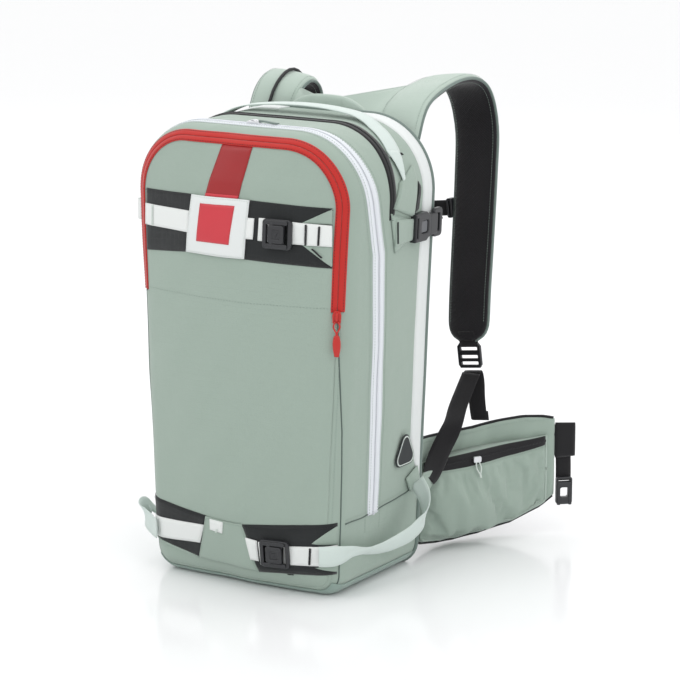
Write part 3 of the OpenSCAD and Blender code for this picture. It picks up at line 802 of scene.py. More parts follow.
def puffed(piece: bpy.types.Object, cap: float, pressure: float = 4.0, voxel: float = 0.005,
           held: np.ndarray | None = None, spare: float = 0.0) -> bpy.types.Object:
    """Swell a closed padded piece with a short cloth simulation.

    Args:
        piece: a closed mesh, a little smaller than the pad.
        cap: how far a point may move.
        pressure: air pressure of the simulation.
        voxel: size of the remeshed grid, or 0 to keep the mesh and its pattern coordinates.
        held: numbers of the points that are sewn down, or None.
        spare: share by which the cloth is cut longer than its seams.

    Returns:
        The same object, with the result in its mesh.
    """
    scene = bpy.context.scene
    if voxel > 0:
        remesh = piece.modifiers.new("remesh", "REMESH")
        remesh.mode = "VOXEL"
        remesh.voxel_size = voxel
        material = piece.data.materials[0]
        mesh = frozen_mesh(piece)
        piece.modifiers.clear()
        piece.data = mesh
        piece.data.materials.clear()
        piece.data.materials.append(material)
    start = np.array([v.co for v in piece.data.vertices])
    cloth = piece.modifiers.new("cloth", "CLOTH")
    cloth.settings.use_pressure = True
    cloth.settings.uniform_pressure_force = pressure
    cloth.settings.effector_weights.gravity = 0.0
    cloth.settings.quality = 4
    cloth.settings.shrink_min = -spare
    if held is not None:
        group = piece.vertex_groups.new(name="sewn")
        group.add([int(k) for k in held], 1.0, "REPLACE")
        cloth.settings.vertex_group_mass = "sewn"
    cloth.point_cache.frame_start = 1
    cloth.point_cache.frame_end = SWELL_STEPS
    for step in range(1, SWELL_STEPS + 1):
        scene.frame_set(step)
    swollen = frozen_mesh(piece)
    end = np.array([v.co for v in swollen.vertices])
    bpy.data.meshes.remove(swollen)
    piece.modifiers.clear()
    piece.vertex_groups.clear()
    scene.frame_set(1)
    move = end - start
    length = np.linalg.norm(move, axis=1, keepdims=True)
    move_points(piece, start + move * np.minimum(1.0, cap / np.maximum(length, 1e-9)))
    log.info("%s swollen by up to %.1f mm", piece.name, 1000 * float(length.max()))
    return piece


def move_points(piece: bpy.types.Object, places: np.ndarray) -> None:
    """Give a piece's points new places."""
    piece.data.vertices.foreach_set("co", np.asarray(places, dtype=np.float32).ravel())
    piece.data.polygons.foreach_set("use_smooth", [True] * len(piece.data.polygons))
    piece.data.update()


# ---------------------------------------------------------------- the body's surface

@dataclass(frozen=True)
class BodyShape:
    """Outer surface of the pack: an arched outline, side walls and a bulged front."""

    half_w: float = HALF_W
    half_b: float = HALF_B
    height: float = TOP_Z
    corner: float = CORNER_R
    base: float = BASE_R
    seam: float = SEAM_Y
    edge: float = EDGE_R
    bulge: float = BULGE

    def half_at(self, z: np.ndarray) -> np.ndarray:
        """Half width of the outline at a height, corners left out."""
        run = self.height - self.corner - self.base
        return self.half_b + (self.half_w - self.half_b) * (np.asarray(z) - self.base) / run

    def outline(self, start: float, end: float, count: int, inset: float = 0.0) -> Line:
        """Points on the outline and their outward directions.

        Args:
            start: where to begin, 0 at the middle of the base, 0.5 at the middle of the top, going over +X.
            end: where to stop; it may be over 1.
            count: how many points.
            inset: distance inwards.

        Returns:
            N by 2 places in X and Z, and N by 2 directions.
        """
        p, n = _dense_outline(self)
        step = np.linalg.norm(np.diff(p, axis=0), axis=1)
        length = np.concatenate([[0.0], np.cumsum(step)])
        at = np.mod(np.linspace(start, end, count), 1.0) * length[-1]
        if abs(end - 1.0) < 1e-9:
            at[-1] = length[-1]
        place = np.stack([np.interp(at, length, p[:, k]) for k in (0, 1)], axis=1)
        out = unit(np.stack([np.interp(at, length, n[:, k]) for k in (0, 1)], axis=1))
        return place - out * inset, out

    def share_at_height(self, z: float) -> float:
        """Where the outline passes a height on the +X side, from 0 to 0.5."""
        p, _ = self.outline(0.0, 0.5, 800)
        return float(np.interp(z, p[:, 1], np.linspace(0.0, 0.5, 800)))

    def depth_in(self, x: np.ndarray, z: np.ndarray) -> np.ndarray:
        """Distance inwards from the outline."""
        x, z = np.abs(np.asarray(x, float)), np.asarray(z, float)
        flat = np.minimum(np.minimum(self.height - z, z), (self.half_at(z) - x) * 0.999)
        top = self.corner - np.hypot(x - (self.half_w - self.corner), z - (self.height - self.corner))
        low = self.base - np.hypot(x - (self.half_b - self.base), z - self.base)
        in_top = (x > self.half_w - self.corner) & (z > self.height - self.corner)
        in_low = (x > self.half_b - self.base) & (z < self.base)
        return np.where(in_top, top, np.where(in_low, low, flat))

    def swell(self, x: np.ndarray, z: np.ndarray) -> np.ndarray:
        """How far the front stands out past its seam plane."""
        up = np.interp(z, [0.0, 0.03, 0.10, 0.25, 0.42, 0.48, 0.52, 0.54],
                       [0.16, 0.5, 0.86, 1.0, 1.0, 0.84, 0.52, 0.3])
        across = np.maximum(0.0, 1.0 - (np.asarray(x, float) / self.half_w) ** 2)
        fold = 0.0012 * np.sin(np.asarray(x, float) * 46.0 + np.asarray(z, float) * 21.0)
        ripple = 0.0006 * np.sin(np.asarray(x, float) * 95.0 - np.asarray(z, float) * 61.0 + 1.2)
        return self.bulge * across * up + (fold + ripple) * across

    def front(self, x: np.ndarray, z: np.ndarray, off: object = 0.0) -> np.ndarray:
        """Points on the front at x and z, lifted by off along the surface's outward direction."""
        x, z = np.broadcast_arrays(np.asarray(x, float), np.asarray(z, float))
        y = self._front_y(x, z)
        e = 0.001
        dx = (self._front_y(x + e, z) - self._front_y(x - e, z)) / (2 * e)
        dz = (self._front_y(x, z + e) - self._front_y(x, z - e)) / (2 * e)
        n = unit(np.stack([dx, -np.ones_like(dx), dz], axis=-1))
        return np.stack([x, y, z], axis=-1) + n * np.asarray(off, float)[..., None]

    def front_normal(self, x: float, z: float) -> np.ndarray:
        """Outward direction of the front."""
        return unit(self.front(x, z, 0.01) - self.front(x, z))

    def _front_y(self, x: np.ndarray, z: np.ndarray) -> np.ndarray:
        """Y of the front at x and z."""
        inside = np.clip(self.depth_in(x, z), 0.0, self.edge)
        left = self.edge - inside
        return self.seam + self.edge - np.sqrt(np.maximum(self.edge ** 2 - left ** 2, 0.0)) - self.swell(x, z)

    def around(self, place: np.ndarray, out: np.ndarray, run: np.ndarray, off: float = 0.0) -> np.ndarray:
        """Points on the rounding between a side wall and the front.

        Args:
            place: N by 2 outline points.
            out: their outward directions.
            run: distance from where the rounding starts, one for each point.
            off: lift from the surface.

        Returns:
            N by 3 places.
        """
        turn = np.clip(run / self.edge, 0.0, QUARTER)
        flat = np.maximum(run - self.edge * QUARTER, 0.0)
        inset = self.edge * (1 - np.cos(turn)) + flat
        x = place[:, 0] - out[:, 0] * inset
        z = place[:, 1] - out[:, 1] * inset
        y = self.seam + self.edge * (1 - np.sin(turn)) - self.swell(x, z)
        lift = np.stack([out[:, 0] * np.cos(turn), -np.sin(turn), out[:, 1] * np.cos(turn)], axis=1)
        at = np.stack([x, y, z], axis=1)
        soft = self.lumps(at, out) * np.cos(turn) ** 2
        return at + lift * (off + soft)[:, None]

    def around_up(self, out: np.ndarray, run: np.ndarray) -> np.ndarray:
        """Outward directions on the rounding."""
        turn = np.clip(run / self.edge, 0.0, QUARTER)
        return np.stack([out[:, 0] * np.cos(turn), -np.sin(turn), out[:, 1] * np.cos(turn)], axis=1)

    def wall(self, place: np.ndarray, out: np.ndarray, y: object, off: float = 0.0) -> np.ndarray:
        """Points on the side walls at a depth y, slightly swollen between the edges."""
        y = np.broadcast_to(np.asarray(y, float), (len(place),))
        at = np.stack([place[:, 0], y, place[:, 1]], axis=1)
        puff = self.puff(place, out, y) + off + self.lumps(at, out)
        x, z = place[:, 0] + out[:, 0] * puff, place[:, 1] + out[:, 1] * puff
        return np.stack([x, y, np.maximum(z, 0.0005 + np.maximum(off, 0.0))], axis=1)

    def lumps(self, at: np.ndarray, out: np.ndarray) -> np.ndarray:
        """Soft folds of the walls' cloth at points, which every trim on the walls follows."""
        keep = (np.clip((at[:, 2] - 0.01) / 0.05, 0, 1) * 0.9 + 0.1) * (np.abs(out[:, 0]) * 0.8 + 0.2)
        keep = keep * np.clip((BACK_Y - at[:, 1]) / 0.03, 0.15, 1.0)
        broad = np.array([noise.noise(Vector((p[0] * 9 + 3, p[1] * 11 + 5, p[2] * 7 - 2))) for p in at])
        fine = np.array([noise.noise(Vector((p[0] * 25, p[1] * 34 + 8, p[2] * 17))) for p in at])
        return (broad * 0.0032 + fine * 0.0012) * keep

    def puff(self, place: np.ndarray, out: np.ndarray, y: np.ndarray) -> np.ndarray:
        """How far the side walls swell."""
        across = np.clip((y - (self.seam + self.edge)) / (BACK_Y - self.seam - self.edge), 0.0, 1.0)
        standing = np.abs(out[:, 0]) ** 2
        level = np.clip(place[:, 1] / 0.12, 0.0, 1.0)
        return 0.0035 * np.sin(np.pi * across) * standing * level


@cache
def _dense_outline(shape: BodyShape) -> Line:
    """Closed outline with outward directions, from the middle of the base over +X."""
    def arc(cx: float, cz: float, r: float, a0: float, a1: float) -> list:
        return [((cx + r * math.cos(a), cz + r * math.sin(a)), (math.cos(a), math.sin(a)))
                for a in np.linspace(math.radians(a0), math.radians(a1), 40)]
    half = ([((0.0, 0.0), (0.0, -1.0))]
            + arc(shape.half_b - shape.base, shape.base, shape.base, -90, 0)
            + arc(shape.half_w - shape.corner, shape.height - shape.corner, shape.corner, 0, 90)
            + [((0.0, shape.height), (0.0, 1.0))])
    other = [((-p[0], p[1]), (-n[0], n[1])) for p, n in half[-2::-1]]
    both = half + other
    return np.array([p for p, _ in both]), np.array([n for _, n in both])


BODY = BodyShape()
FLAP_RIM = 0.0125               # inset of the line where the walls' cloth meets the front sheet


def wall_up(n: np.ndarray) -> np.ndarray:
    """Outward directions on the walls, from those of the outline."""
    return np.stack([n[:, 0], np.zeros(len(n)), n[:, 1]], axis=1)


def run_of(inset: float) -> float:
    """Distance round the front rounding that reaches an inset."""
    if inset >= EDGE_R:
        return EDGE_R * QUARTER + inset - EDGE_R
    return EDGE_R * math.acos(1 - inset / EDGE_R)


LINE_STEP = 0.003               # distance between the points of a sewn line


def layer_on(surface: Callable, name: str, corners: list, off: float, thick: float, finish: str, cells: tuple,
             rim: float) -> bpy.types.Object:
    """Layer sewn on a surface.

    Args:
        surface: gives places from two flat coordinates and a lift.
        name: the piece's name.
        corners: four flat points, in order round the layer.
        off: distance of its underside from the cloth.
        thick: its thickness.
        finish: a key of FINISHES.
        cells: columns and rows of its grid.
        rim: thickness that is left at its edge, as a share.

    Returns:
        The object.
    """
    a, b, c, d = [np.array(p, float) for p in corners]
    u = np.linspace(0, 1, cells[0] + 1)[None, :, None]
    v = np.linspace(0, 1, cells[1] + 1)[:, None, None]
    flat = (a * (1 - u) + b * u) * (1 - v) + (d * (1 - u) + c * u) * v
    lift = np.full(flat.shape[:2], off + thick)
    for edge in (lift[0], lift[-1], lift[:, 0], lift[:, -1]):
        edge[...] = off + thick * rim
    return slab(name, surface(flat[..., 0], flat[..., 1], off), surface(flat[..., 0], flat[..., 1], lift),
                finish)


def line_on(surface: Callable, points: list, off: float) -> Line:
    """Line on a surface through flat points, with its outward directions."""
    made = []
    for (x0, z0), (x1, z1) in zip(points, points[1:]):
        count = max(2, int(math.hypot(x1 - x0, z1 - z0) / LINE_STEP))
        made += [(x0 + (x1 - x0) * k / count, z0 + (z1 - z0) * k / count) for k in range(count)]
    flat = np.array(made + [points[-1]])
    path = surface(flat[:, 0], flat[:, 1], off)
    return path, unit(path - surface(flat[:, 0], flat[:, 1], off - 0.002))


def draped(name: str, corners: list, off: float, thick: float, finish: str, cells: tuple = (16, 10),
           soft: float = 1.0) -> bpy.types.Object:
    """Flat piece sewn on the front, with a soft edge.

    Args:
        name: the piece's name.
        corners: four flat points in X and Z, anticlockwise from the lower left.
        off: distance of its underside from the cloth.
        thick: its thickness.
        finish: a key of FINISHES.
        cells: columns and rows of its grid.
        soft: how far the edge comes down, from 0 to 1.

    Returns:
        The object.
    """
    return layer_on(BODY.front, name, corners, off, thick, finish, cells, 1 - 0.6 * soft)


def seam_line(points: list, off: float) -> Line:
    """Line on the front through flat points in X and Z."""
    return line_on(BODY.front, points, off)


# ---------------------------------------------------------------- sub-assemblies

def rim_line(p: np.ndarray, n: np.ndarray, inset: float, off: float) -> Line:
    """Line on the front rounding at an inset, with its outward directions."""
    run = np.full(len(p), run_of(inset))
    return BODY.around(p, n, run, off), BODY.around_up(n, run)


@dataclass
class PackBody:
    """Fabric walls, seams, zips and trims of the pack itself."""

    columns: int = 260
    zip_side_y: float = -0.022
    zip_top_y: float = -0.052
    corner_strip: float = 0.026     # width of the pale strip beside the rear edge

    def build(self) -> None:
        """Make every piece on the body."""
        self.walls()
        self.shaded_base_cover()
        self.front_tape()
        self.main_zip()
        self.burst_zip()
        self.piping()
        self.seams()
        self.badge()
        self.divider()

    def walls(self) -> None:
        """Side, top and base walls as one cloth shell, with the rounding to the front."""
        p, n = BODY.outline(0.0, 1.0, self.columns + 1)
        rows = [BODY.wall(p, n, y) for y in np.linspace(BACK_Y - 0.001, SEAM_Y + EDGE_R, 22)]
        last = np.full(len(p), run_of(FLAP_RIM + 0.0002))
        rows += [BODY.around(p, n, last * k / 9) for k in range(1, 10)]
        grid = np.array(rows)
        grid[..., 2] = np.maximum(grid[..., 2], 0.0006)
        grid[:, -1] = grid[:, 0]
        made = self._face_out(outwards(sheet("pack_walls", grid, "sage")))
        solidify(made, WALL_T)
        settle(made, "pack", "sage_fabric", "left_side_panel", "right_side_panel", "top_panel", "base_panel")

    @staticmethod
    def _face_out(piece: bpy.types.Object) -> bpy.types.Object:
        """Turn an open shell so that its faces look away from its middle."""
        work = bmesh.new()
        work.from_mesh(piece.data)
        middle = Vector((0.0, 0.0, 0.28))
        score = sum((f.calc_center_median() - middle).dot(f.normal) * f.calc_area() for f in work.faces)
        if score < 0:
            bmesh.ops.reverse_faces(work, faces=work.faces)
        work.to_mesh(piece.data)
        work.free()
        return piece

    def shaded_base_cover(self) -> None:
        """Darker cloth over the base and low on the walls; the darker colour is painted shade where the
        bottom of the pack lies in shadow.
        """
        u = BODY.share_at_height(0.016)
        p, n = BODY.outline(1.0 - u, 1.0 + u, 120)
        rows = [BODY.wall(p, n, y, 0.0012) for y in np.linspace(BACK_Y - 0.004, SEAM_Y + EDGE_R, 12)]
        last = np.full(len(p), run_of(0.008))
        rows += [BODY.around(p, n, last * k / 6, 0.0012) for k in range(1, 7)]
        grid = np.array(rows)
        grid[..., 2] = np.maximum(grid[..., 2], 0.0)
        # The darker sage of this sheet is painted shade at the bottom of the pack.
        made = self._face_out(outwards(sheet("shaded_base_cover", grid, "sage_painted_shade")))
        solidify(made, 0.0008)
        settle(made, "pack", "sage_fabric")

    def front_tape(self) -> None:
        """Outer half of the red flap zip, which stays on the pack."""
        u = BODY.share_at_height(HINGE_Z - 0.004)
        p, n = BODY.outline(u, 1.0 - u, 260)
        settle(rim_strip("flap_zip_outer_tape", p, n, FLAP_RIM - 0.0060, FLAP_RIM - 0.0001,
                        0.0004, 0.0014, "red_tape"),
               "pack", "red_zip", "flap_zip_outer")
        settle(rows_of("flap_zip_outer_teeth", [rim_line(p, n, FLAP_RIM - 0.0013, 0.0001)],
                       Element.FLAP_TOOTH, "red_coil"), "pack", "red_zip")
        settle(rows_of("flap_zip_outer_stitches", [rim_line(p, n, FLAP_RIM - 0.0046, 0.0015)],
                       Element.ZIP_STITCH, "dark_thread"), "pack", "red_zip")

    def zip_path(self, start: float, end: float, count: int, shift: float, lift: float) -> tuple:
        """Line on the walls beside the main zip.

        Args:
            start: outline share to begin at.
            end: outline share to stop at.
            count: how many points.
            shift: distance towards the rear from the middle of the zip.
            lift: distance from the cloth.

        Returns:
            Places and outward directions.
        """
        p, n = BODY.outline(start, end, count)
        y = np.interp(p[:, 1], [0.09, 0.40, 0.46, TOP_Z],
                      [self.zip_side_y, -0.036, -0.052, self.zip_top_y - 0.012]) + shift
        path = BODY.wall(p, n, y, lift)
        return path, wall_up(n)

    def _band(self, name: str, start: float, end: float, inner: float, outer: float, low: float, high: float,
              finish: str) -> bpy.types.Object:
        """Flat band on the walls between two shifts from the middle of the main zip."""
        soft = (outer - inner) * 0.12
        spots = ((inner, high - 0.0006), (inner + soft, high), (outer - soft, high), (outer, high - 0.0006))
        def edge(shift: float, lift: float) -> np.ndarray:
            return self.zip_path(start, end, 240, shift, lift)[0]
        return band_of(name, edge, spots, low, finish)

    def main_zip(self) -> None:
        """Pale main zip over the top and down both sides, with its tapes, teeth and stitches."""
        u = BODY.share_at_height(0.088)
        settle(self._band("main_zip_front_tape", u, 1.0 - u, -0.0108, -0.0003, -0.0006, 0.0014, "pale_tape"),
               "pack", "pale_web", "main_zip")
        settle(self._band("main_zip_rear_tape", u, 1.0 - u, 0.0003, 0.0108, -0.0006, 0.0014, "pale_tape"),
               "pack", "pale_web")
        teeth = [self.zip_path(u, 1.0 - u, 420, 0.0, 0.0018)]
        settle(rows_of("main_zip_teeth", teeth, Element.MAIN_TOOTH, "pale_coil"), "pack", "pale_web")
        lines = [self.zip_path(u, 1.0 - u, 300, side * 0.0084, 0.0016) for side in (-1, 1)]
        settle(rows_of("main_zip_stitches", lines, Element.ZIP_STITCH, "sage_thread"),
               "pack", "pale_web")

    def burst_zip(self) -> None:
        """Black burst zip behind the main zip, over the top between the two sides."""
        u = BODY.share_at_height(0.436)
        p, n = BODY.outline(u, 1.0 - u, 200)
        t = np.clip((p[:, 1] - 0.43) / (TOP_Z - 0.43), 0.0, 1.0)
        y = -0.013 + 0.017 * t ** 2
        half = 0.0050 + 0.0030 * np.clip(np.sin(np.pi * np.linspace(0, 1, len(p))) * 2, 0, 1)
        cover = band_of("burst_zip_cover", lambda s, lift: BODY.wall(p, n, y + s * half, lift),
                        ((-1, 0.0006), (-0.6, 0.0014), (0.6, 0.0014), (1, 0.0006)), -0.0004, "black_tape")
        settle(cover, "pack", "black_fabric", "burst_zip")
        teeth = [(BODY.wall(p, n, y, 0.0018), wall_up(n))]
        settle(rows_of("burst_zip_teeth", teeth, Element.BURST_TOOTH, "black_coil"), "pack", "black_fabric")

    def piping(self) -> None:
        """Bound rear edge and the pale strip along it."""
        p, n = BODY.outline(0.0, 1.0, 261)
        path = BODY.wall(p, n, BACK_Y - 0.003, 0.0006)[:-1]
        run = tangents(np.concatenate([path[-1:], path, path[:1]]))[1:-1]
        out = wall_up(n[:-1])
        back = np.cross(run, out)
        rings = np.stack([path + out * 0.0026 * math.cos(a) + back * 0.0026 * math.sin(a)
                          for a in circle(10)], axis=1)
        rings = np.concatenate([rings, rings[:1]])
        rings[..., 2] = np.maximum(rings[..., 2], 0.0)
        settle(loft("rear_edge_piping", rings, "binding", caps=False), "pack", "pale_web", "back_piping")
        u = BODY.share_at_height(0.10)
        for name, start, end in (("right", u, 0.47), ("left", 0.53, 1.0 - u)):
            p, n = BODY.outline(start, end, 160)
            wide = self.corner_strip * np.clip((p[:, 1] - 0.10) / 0.06, 0.05, 1.0)
            spots = ((0.0, 0.0010), (0.2, 0.0016), (0.8, 0.0016), (1.0, 0.0004))
            strip = band_of(f"{name}_rear_strip",
                            lambda s, lift: BODY.wall(p, n, BACK_Y - 0.004 - wide * s, lift),
                            spots, -0.0004, "pale_cloth")
            settle(strip, "pack", "sage_fabric")

    def seams(self) -> None:
        """Piped seams and stitches on the walls."""
        beads = []
        low = BODY.share_at_height(HINGE_Z)
        for start, end in ((0.02, low), (1.0 - low, 0.98)):
            q, m = BODY.outline(start, end, 120)
            inset = np.interp(q[:, 1], [0.02, 0.10, 0.20, HINGE_Z], [0.0035, 0.0030, 0.0045, FLAP_RIM])
            run = np.array([run_of(float(i)) for i in inset])
            # Beads in dark sage: piping, darkened with painted shade along the seam.
            beads.append(cord_tube("bead", BODY.around(q, m, run, -0.0002), 0.0010, "sage_seam_painted_shade", 6))
        lines = []
        for side in (1, -1):
            for height, away in ((0.0, True), (0.0045, False)):
                points = [(SEAM_Y + EDGE_R - 0.012, 0.0895 + height), (-0.045, 0.0885 + height),
                          (0.0, 0.0925 + height),
                          (0.055, 0.0960 + height), (BACK_Y - 0.004, 0.1050 + height)]
                path, up = side_row(side, points, 0.0004)
                if away:
                    # Bead of the lower seam, in the same dark sage with painted shade.
                    beads.append(cord_tube("bead", path, 0.0008, "sage_seam_painted_shade", 6))
                else:
                    lines.append((path, up))
        settle(joined("wall_seams", beads), "pack", "sage_fabric")
        for start, end in ((0.02, low), (1.0 - low, 0.98)):
            lines.append(rim_line(*BODY.outline(start, end, 160), FLAP_RIM - 0.0035, 0.0003))
        for shift in (-0.0155, 0.0155):
            u = BODY.share_at_height(0.07)
            lines.append(self.zip_path(u, 1.0 - u, 300, shift, 0.0003))
        settle(rows_of("wall_stitches", lines, Element.WALL_STITCH, "sage_thread"),
               "pack", "sage_fabric")

    def badge(self) -> None:
        """Plain raised triangle low on the right wall."""
        z = 0.149
        place = Vector((BODY.half_at(z) + 0.0046, 0.040, z))
        right = Vector((0.0, 1.0, 0.0))
        lean = float(BODY.half_at(z + 0.01) - BODY.half_at(z))
        up = Vector((lean, 0.0, 0.01)).normalized()
        def rounded_triangle(size: float) -> list:
            points = []
            for k in range(3):
                middle = QUARTER + k * math.tau / 3
                cx, cz = math.cos(middle) * size * 0.62, math.sin(middle) * size * 0.62
                points += [(cx + 0.38 * size * math.cos(middle + t), cz + 0.38 * size * math.sin(middle + t))
                           for t in np.linspace(-math.pi / 3, math.pi / 3, 7)]
            return points
        shield = plate("side_badge", rounded_triangle(0.0225), [], 0.0016, "badge", place, right, up, 0.0005)
        rim = plate("side_badge_rim", rounded_triangle(0.0205), [rounded_triangle(0.0190)], 0.0006,
                    "pale_thread",
                    place + Vector((0.0015, 0, 0)), right, up, 0.0001)
        settle(joined("side_badge", [shield, rim]), "pack", "black_plastic")

    def divider(self) -> None:
        """Lining behind the flap with tool sleeves, seen when the flap is open."""
        p, _ = BODY.outline(0.0, 1.0, 181, inset=0.0042)
        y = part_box("pocket_divider")[0][1] - 0.0002
        ring = p[:-1]
        centre = np.array([0.0, 0.27])
        rows = np.array([np.stack([centre[0] + (ring[:, 0] - centre[0]) * s, np.full(len(ring), y),
                                   centre[1] + (ring[:, 1] - centre[1]) * s], axis=1)
                         for s in np.linspace(1.0, 0.02, 24)])
        rows = np.concatenate([rows, rows[:, :1]], axis=1)
        flat = rows.reshape(-1, 3)
        forward = np.tile([0.0, -1.0, 0.0], (len(flat), 1))
        rows = crumple(flat, forward, 0.06, 0.0018, seed=5.0).reshape(rows.shape)
        lining = sheet("divider_lining", rows, "black_cloth")
        outwards(lining)
        solidify(lining, 0.0014, 1.0)
        settle(lining, "pack", "black_fabric", "pocket_divider")
        parts = []
        for k, (x, width) in enumerate(((-0.072, 0.062), (0.0, 0.062), (0.072, 0.062))):
            top = 0.40 + 0.02 * (k % 2)
            u = np.linspace(-1, 1, 13)[None, :]
            v = np.linspace(0, 1, 16)[:, None]
            gx = x + u * width / 2 + 0 * v
            gz = 0.10 + v * (top - 0.10) + 0 * u
            bow = 0.012 * (1 - u ** 2) * (0.35 + 0.65 * v)
            upper = np.stack([gx, y - 0.003 - bow, gz], axis=-1)
            lower = np.stack([gx, y - 0.0014 - bow, gz], axis=-1)
            parts.append(slab("sleeve", lower, upper, "black_cloth"))
            hem = np.stack([gx[-1], y - 0.003 - bow[-1], gz[-1]], axis=-1)
            parts.append(ribbon("hem", hem, UPWARDS, 0.012, 0.0022, "binding"))
        settle(joined("tool_sleeves", parts), "pack", "black_fabric")


def rim_strip(name: str, p: np.ndarray, n: np.ndarray, inner: float, outer: float, low: float, high: float,
              finish: str) -> bpy.types.Object:
    """Tape round the front rounding between two insets."""
    r0, r1 = run_of(inner), run_of(outer)
    rim = low + (high - low) * 0.3
    spots = ((r0, rim), (r0 + 0.1 * (r1 - r0), high), (0.5 * (r0 + r1), high),
             (r1 - 0.1 * (r1 - r0), high), (r1, rim))
    return band_of(name, lambda run, lift: BODY.around(p, n, np.full(len(p), run), lift), spots, low, finish)


# ---------------------------------------------------------------- front


def half_front(z: np.ndarray, inset: float) -> np.ndarray:
    """Half width of the front at heights, this far inside the outline."""
    z = np.asarray(z, float)
    top, low = TOP_Z - CORNER_R, BASE_R
    arc = HALF_W - CORNER_R + np.sqrt(np.maximum((CORNER_R - inset) ** 2 - (z - top) ** 2, 0.0))
    foot = HALF_B - BASE_R + np.sqrt(np.maximum((BASE_R - inset) ** 2 - (low - z) ** 2, 0.0))
    return np.where(z > top, arc, np.where(z < low, foot, BODY.half_at(z) - inset))


@dataclass
class FrontSheet:
    """Front cloth of the flap, its half of the zip and the stripe."""

    columns: int = 96
    middle_rows: int = 84
    tape: float = 0.0058

    def build(self) -> None:
        """Make every piece of the plain front."""
        self.cloth()
        self.inner_tape()
        self.slider()
        self.stripe()
        self.creases()

    def cloth(self) -> None:
        """One closed sheet from the base seam to the top of the flap."""
        low, top = BASE_R, TOP_Z - CORNER_R
        turn = np.linspace(0.0, QUARTER, 9)
        z = np.concatenate([FLAP_RIM + (low - FLAP_RIM) * (1 - np.cos(turn[:-1])),
                            np.linspace(low, top, self.middle_rows),
                            top + (CORNER_R - FLAP_RIM) * np.sin(np.linspace(0.0, QUARTER, 22)[1:])])
        even = np.linspace(-1.0, 1.0, self.columns)
        spread = 0.45 * even + 0.55 * np.sin(even * QUARTER)
        wide = half_front(z, FLAP_RIM + 0.0002)
        x = wide[:, None] * spread[None, :]
        z = np.broadcast_to(z[:, None], x.shape)
        upper = BODY.front(x, z)
        made = slab("front_cloth", BODY.front(x, z, -WALL_T), upper, "sage")
        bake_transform(made)
        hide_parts("front_panel", "front_flap")

    def inner_tape(self) -> None:
        """Half of the red zip on the flap, with teeth and stitches."""
        u = BODY.share_at_height(HINGE_Z - 0.004)
        p, n = BODY.outline(u, 1.0 - u, 300)
        tape = rim_strip("flap_zip_inner_tape", p, n, FLAP_RIM + 0.0001, FLAP_RIM + self.tape, 0.0004,
                         0.0014, "red_tape")
        teeth = rows_of("flap_zip_inner_teeth", [rim_line(p, n, FLAP_RIM + 0.0013, 0.0001)],
                        Element.FLAP_TOOTH, "red_coil")
        sewn = rows_of("flap_zip_inner_stitches", [rim_line(p, n, FLAP_RIM + 0.0045, 0.0015)],
                       Element.ZIP_STITCH, "dark_thread")
        for piece in (tape, teeth, sewn):
            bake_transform(piece)
        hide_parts("flap_zip_inner")

    def slider(self) -> None:
        """Red slider with its bridge, and the cord pull that swings on it."""
        low, high = (np.array(c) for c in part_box("flap_zip_slider"))
        z = float(low[2] + high[2]) / 2
        place, out = BODY.outline(BODY.share_at_height(z), 0.4, 2)
        at, up = (Vector(v[0]) for v in rim_line(place, out, FLAP_RIM, 0.0016))
        along = Vector((0.04, 0.0, 1.0)).normalized()
        across = along.cross(up).normalized()
        along = up.cross(across)
        outline = [(-0.0046, -0.007), (0.0046, -0.007), (0.0052, 0.002), (0.0034, 0.007), (-0.0034, 0.007),
                   (-0.0052, 0.002)]
        body = plate("flap_slider_body", outline, [], 0.0034, "red_plastic", at, across, along, 0.0009)
        arch = [at + along * (0.0052 * math.cos(t)) + up * (0.0030 + 0.0032 * math.sin(t))
                for t in np.linspace(0, math.pi, 12)]
        bridge = ribbon("flap_slider_bridge", np.array(arch), np.array(across), 0.0028, 0.0014,
                        "red_plastic")
        settle(joined("flap_slider_with_bridge", [body, bridge]), "flap_slider", "red_zip", "flap_zip_slider")
        self.pull(at, up, across)

    @staticmethod
    def pull(at: Vector, up: Vector, across: Vector) -> None:
        """Cord loop with a moulded grip, hanging from the slider."""
        top = at + up * 0.0054 - Vector((0.0, 0.0, 0.0045))
        reach = 0.0445
        loop = []
        for side, steps in ((-1, np.linspace(0, 1, 10)), (1, np.linspace(1, 0, 10))):
            for t in steps:
                wide = 0.0030 * math.sin(math.pi * min(1.0, t * 1.4 + 0.08)) + 0.0006
                fall = Vector((0, 0, 1)) * (0.019 * t)
                loop.append(top - fall + across * (side * wide) + up * (0.0008 * t))
        cord = cord_tube("pull_cord", np.array(loop), 0.0010, "red_plastic", 8)
        rings = []
        for t in np.linspace(0, 1, 14):
            centre = top - Vector((0, 0, 1)) * (0.016 + (reach - 0.020) * t) + up * 0.0006
            wide = 0.0026 + 0.0020 * math.sin(math.pi * t ** 0.8) * (1.0 if 0 < t < 1 else 0.3)
            thick = 0.0013 + 0.0012 * math.sin(math.pi * t)
            rings.append([tuple(centre + across * (wide * math.cos(a)) + up * (thick * math.sin(a)))
                          for a in circle(14)])
        grip = loft("pull_grip", np.array(rings), "red_plastic")
        settle(joined("flap_pull_with_grip", [cord, grip]), "flap_pull", "red_zip", "flap_zip_pull")

    def stripe(self) -> None:
        """Glossy stripe from the zip down to the tab, with a folded lower hem."""
        head = TOP_Z - FLAP_RIM - self.tape
        corners = [(-0.0305, 0.4640), (0.0135, 0.4640), (0.0255, head), (-0.0160, head)]
        band = draped("centre_band", corners, 0.0002, 0.0007, "stripe", (14, 16), 0.6)
        hem = draped("centre_band_hem",
                     [(-0.0308, 0.4625), (0.0132, 0.4625), (0.0139, 0.4665), (-0.0299, 0.4665)],
                     0.0008, 0.0008, "patch", (14, 4))
        settle(joined("centre_stripe_with_hem", [band, hem]), "flap", "gloss_red", "centre_stripe")

